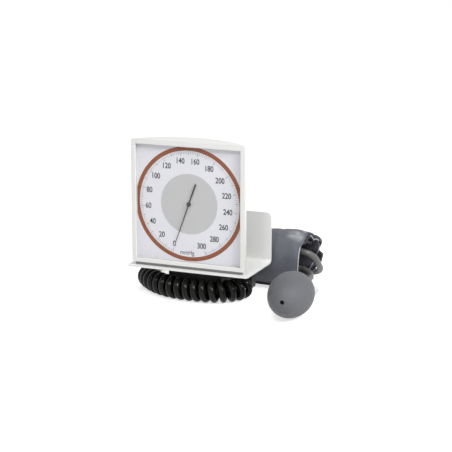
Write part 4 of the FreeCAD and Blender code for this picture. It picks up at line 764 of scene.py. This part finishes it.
def make_floor():
    """A white floor that glows only as it is seen, so that it is white but for the object's shadow."""
    mesh = bpy.data.meshes.new("floor")
    mesh.from_pydata([(-FLOOR_REACH, -FLOOR_REACH, 0), (FLOOR_REACH, -FLOOR_REACH, 0),
                      (FLOOR_REACH, FLOOR_REACH, 0), (-FLOOR_REACH, FLOOR_REACH, 0)], [], [(0, 1, 2, 3)])
    floor = bpy.data.objects.new("floor", mesh)
    bpy.context.scene.collection.objects.link(floor)
    made, tree, shader = node_tree("floor_white")
    shader.inputs["Base Color"].default_value = (FLOOR_GREY, FLOOR_GREY, FLOOR_GREY, 1)
    shader.inputs["Roughness"].default_value = 0.9
    shader.inputs["Specular IOR Level"].default_value = 0.2
    shader.inputs["Emission Color"].default_value = (1, 1, 1, 1)
    glow = new_node(tree, "ShaderNodeMath", operation="MULTIPLY")
    tree.links.new(seen_plainly(tree), glow.inputs[0])
    glow.inputs[1].default_value = FLOOR_GLOW
    tree.links.new(glow.outputs["Value"], shader.inputs["Emission Strength"])
    mesh.materials.append(made)


def make_lights():
    world = bpy.data.worlds.new("studio")
    world.use_nodes = True
    tree = world.node_tree
    background = tree.nodes["Background"]
    background.inputs["Color"].default_value = (1, 1, 1, 1)
    level = new_node(tree, "ShaderNodeMapRange")
    level.inputs["To Min"].default_value = WORLD_LIGHT
    tree.links.new(seen_plainly(tree), level.inputs["Value"])
    tree.links.new(level.outputs["Result"], background.inputs["Strength"])
    bpy.context.scene.world = world
    for name, place, side, power in LAMPS:
        lamp = bpy.data.lights.new(name, "AREA")
        lamp.size = side
        lamp.energy = power
        made = bpy.data.objects.new(name, lamp)
        made.location = place
        made.rotation_euler = (Vector(LAMPS_AIM) - Vector(place)).to_track_quat("-Z", "Y").to_euler()
        bpy.context.scene.collection.objects.link(made)


def make_camera():
    camera = bpy.data.cameras.new("camera")
    camera.sensor_width = CAMERA_SENSOR
    camera.lens = CAMERA_LENS
    made = bpy.data.objects.new("camera", camera)
    made.location = CAMERA_PLACE
    made.rotation_euler = (math.radians(CAMERA_PITCH), 0, math.radians(CAMERA_YAW))
    bpy.context.scene.collection.objects.link(made)
    bpy.context.scene.camera = made


finish_cad_nodes()
make_hoses()
make_dial_print()
make_cuff()
make_bulb()
make_floor()
make_lights()
make_camera()
bpy.context.scene.view_settings.view_transform = "Standard"
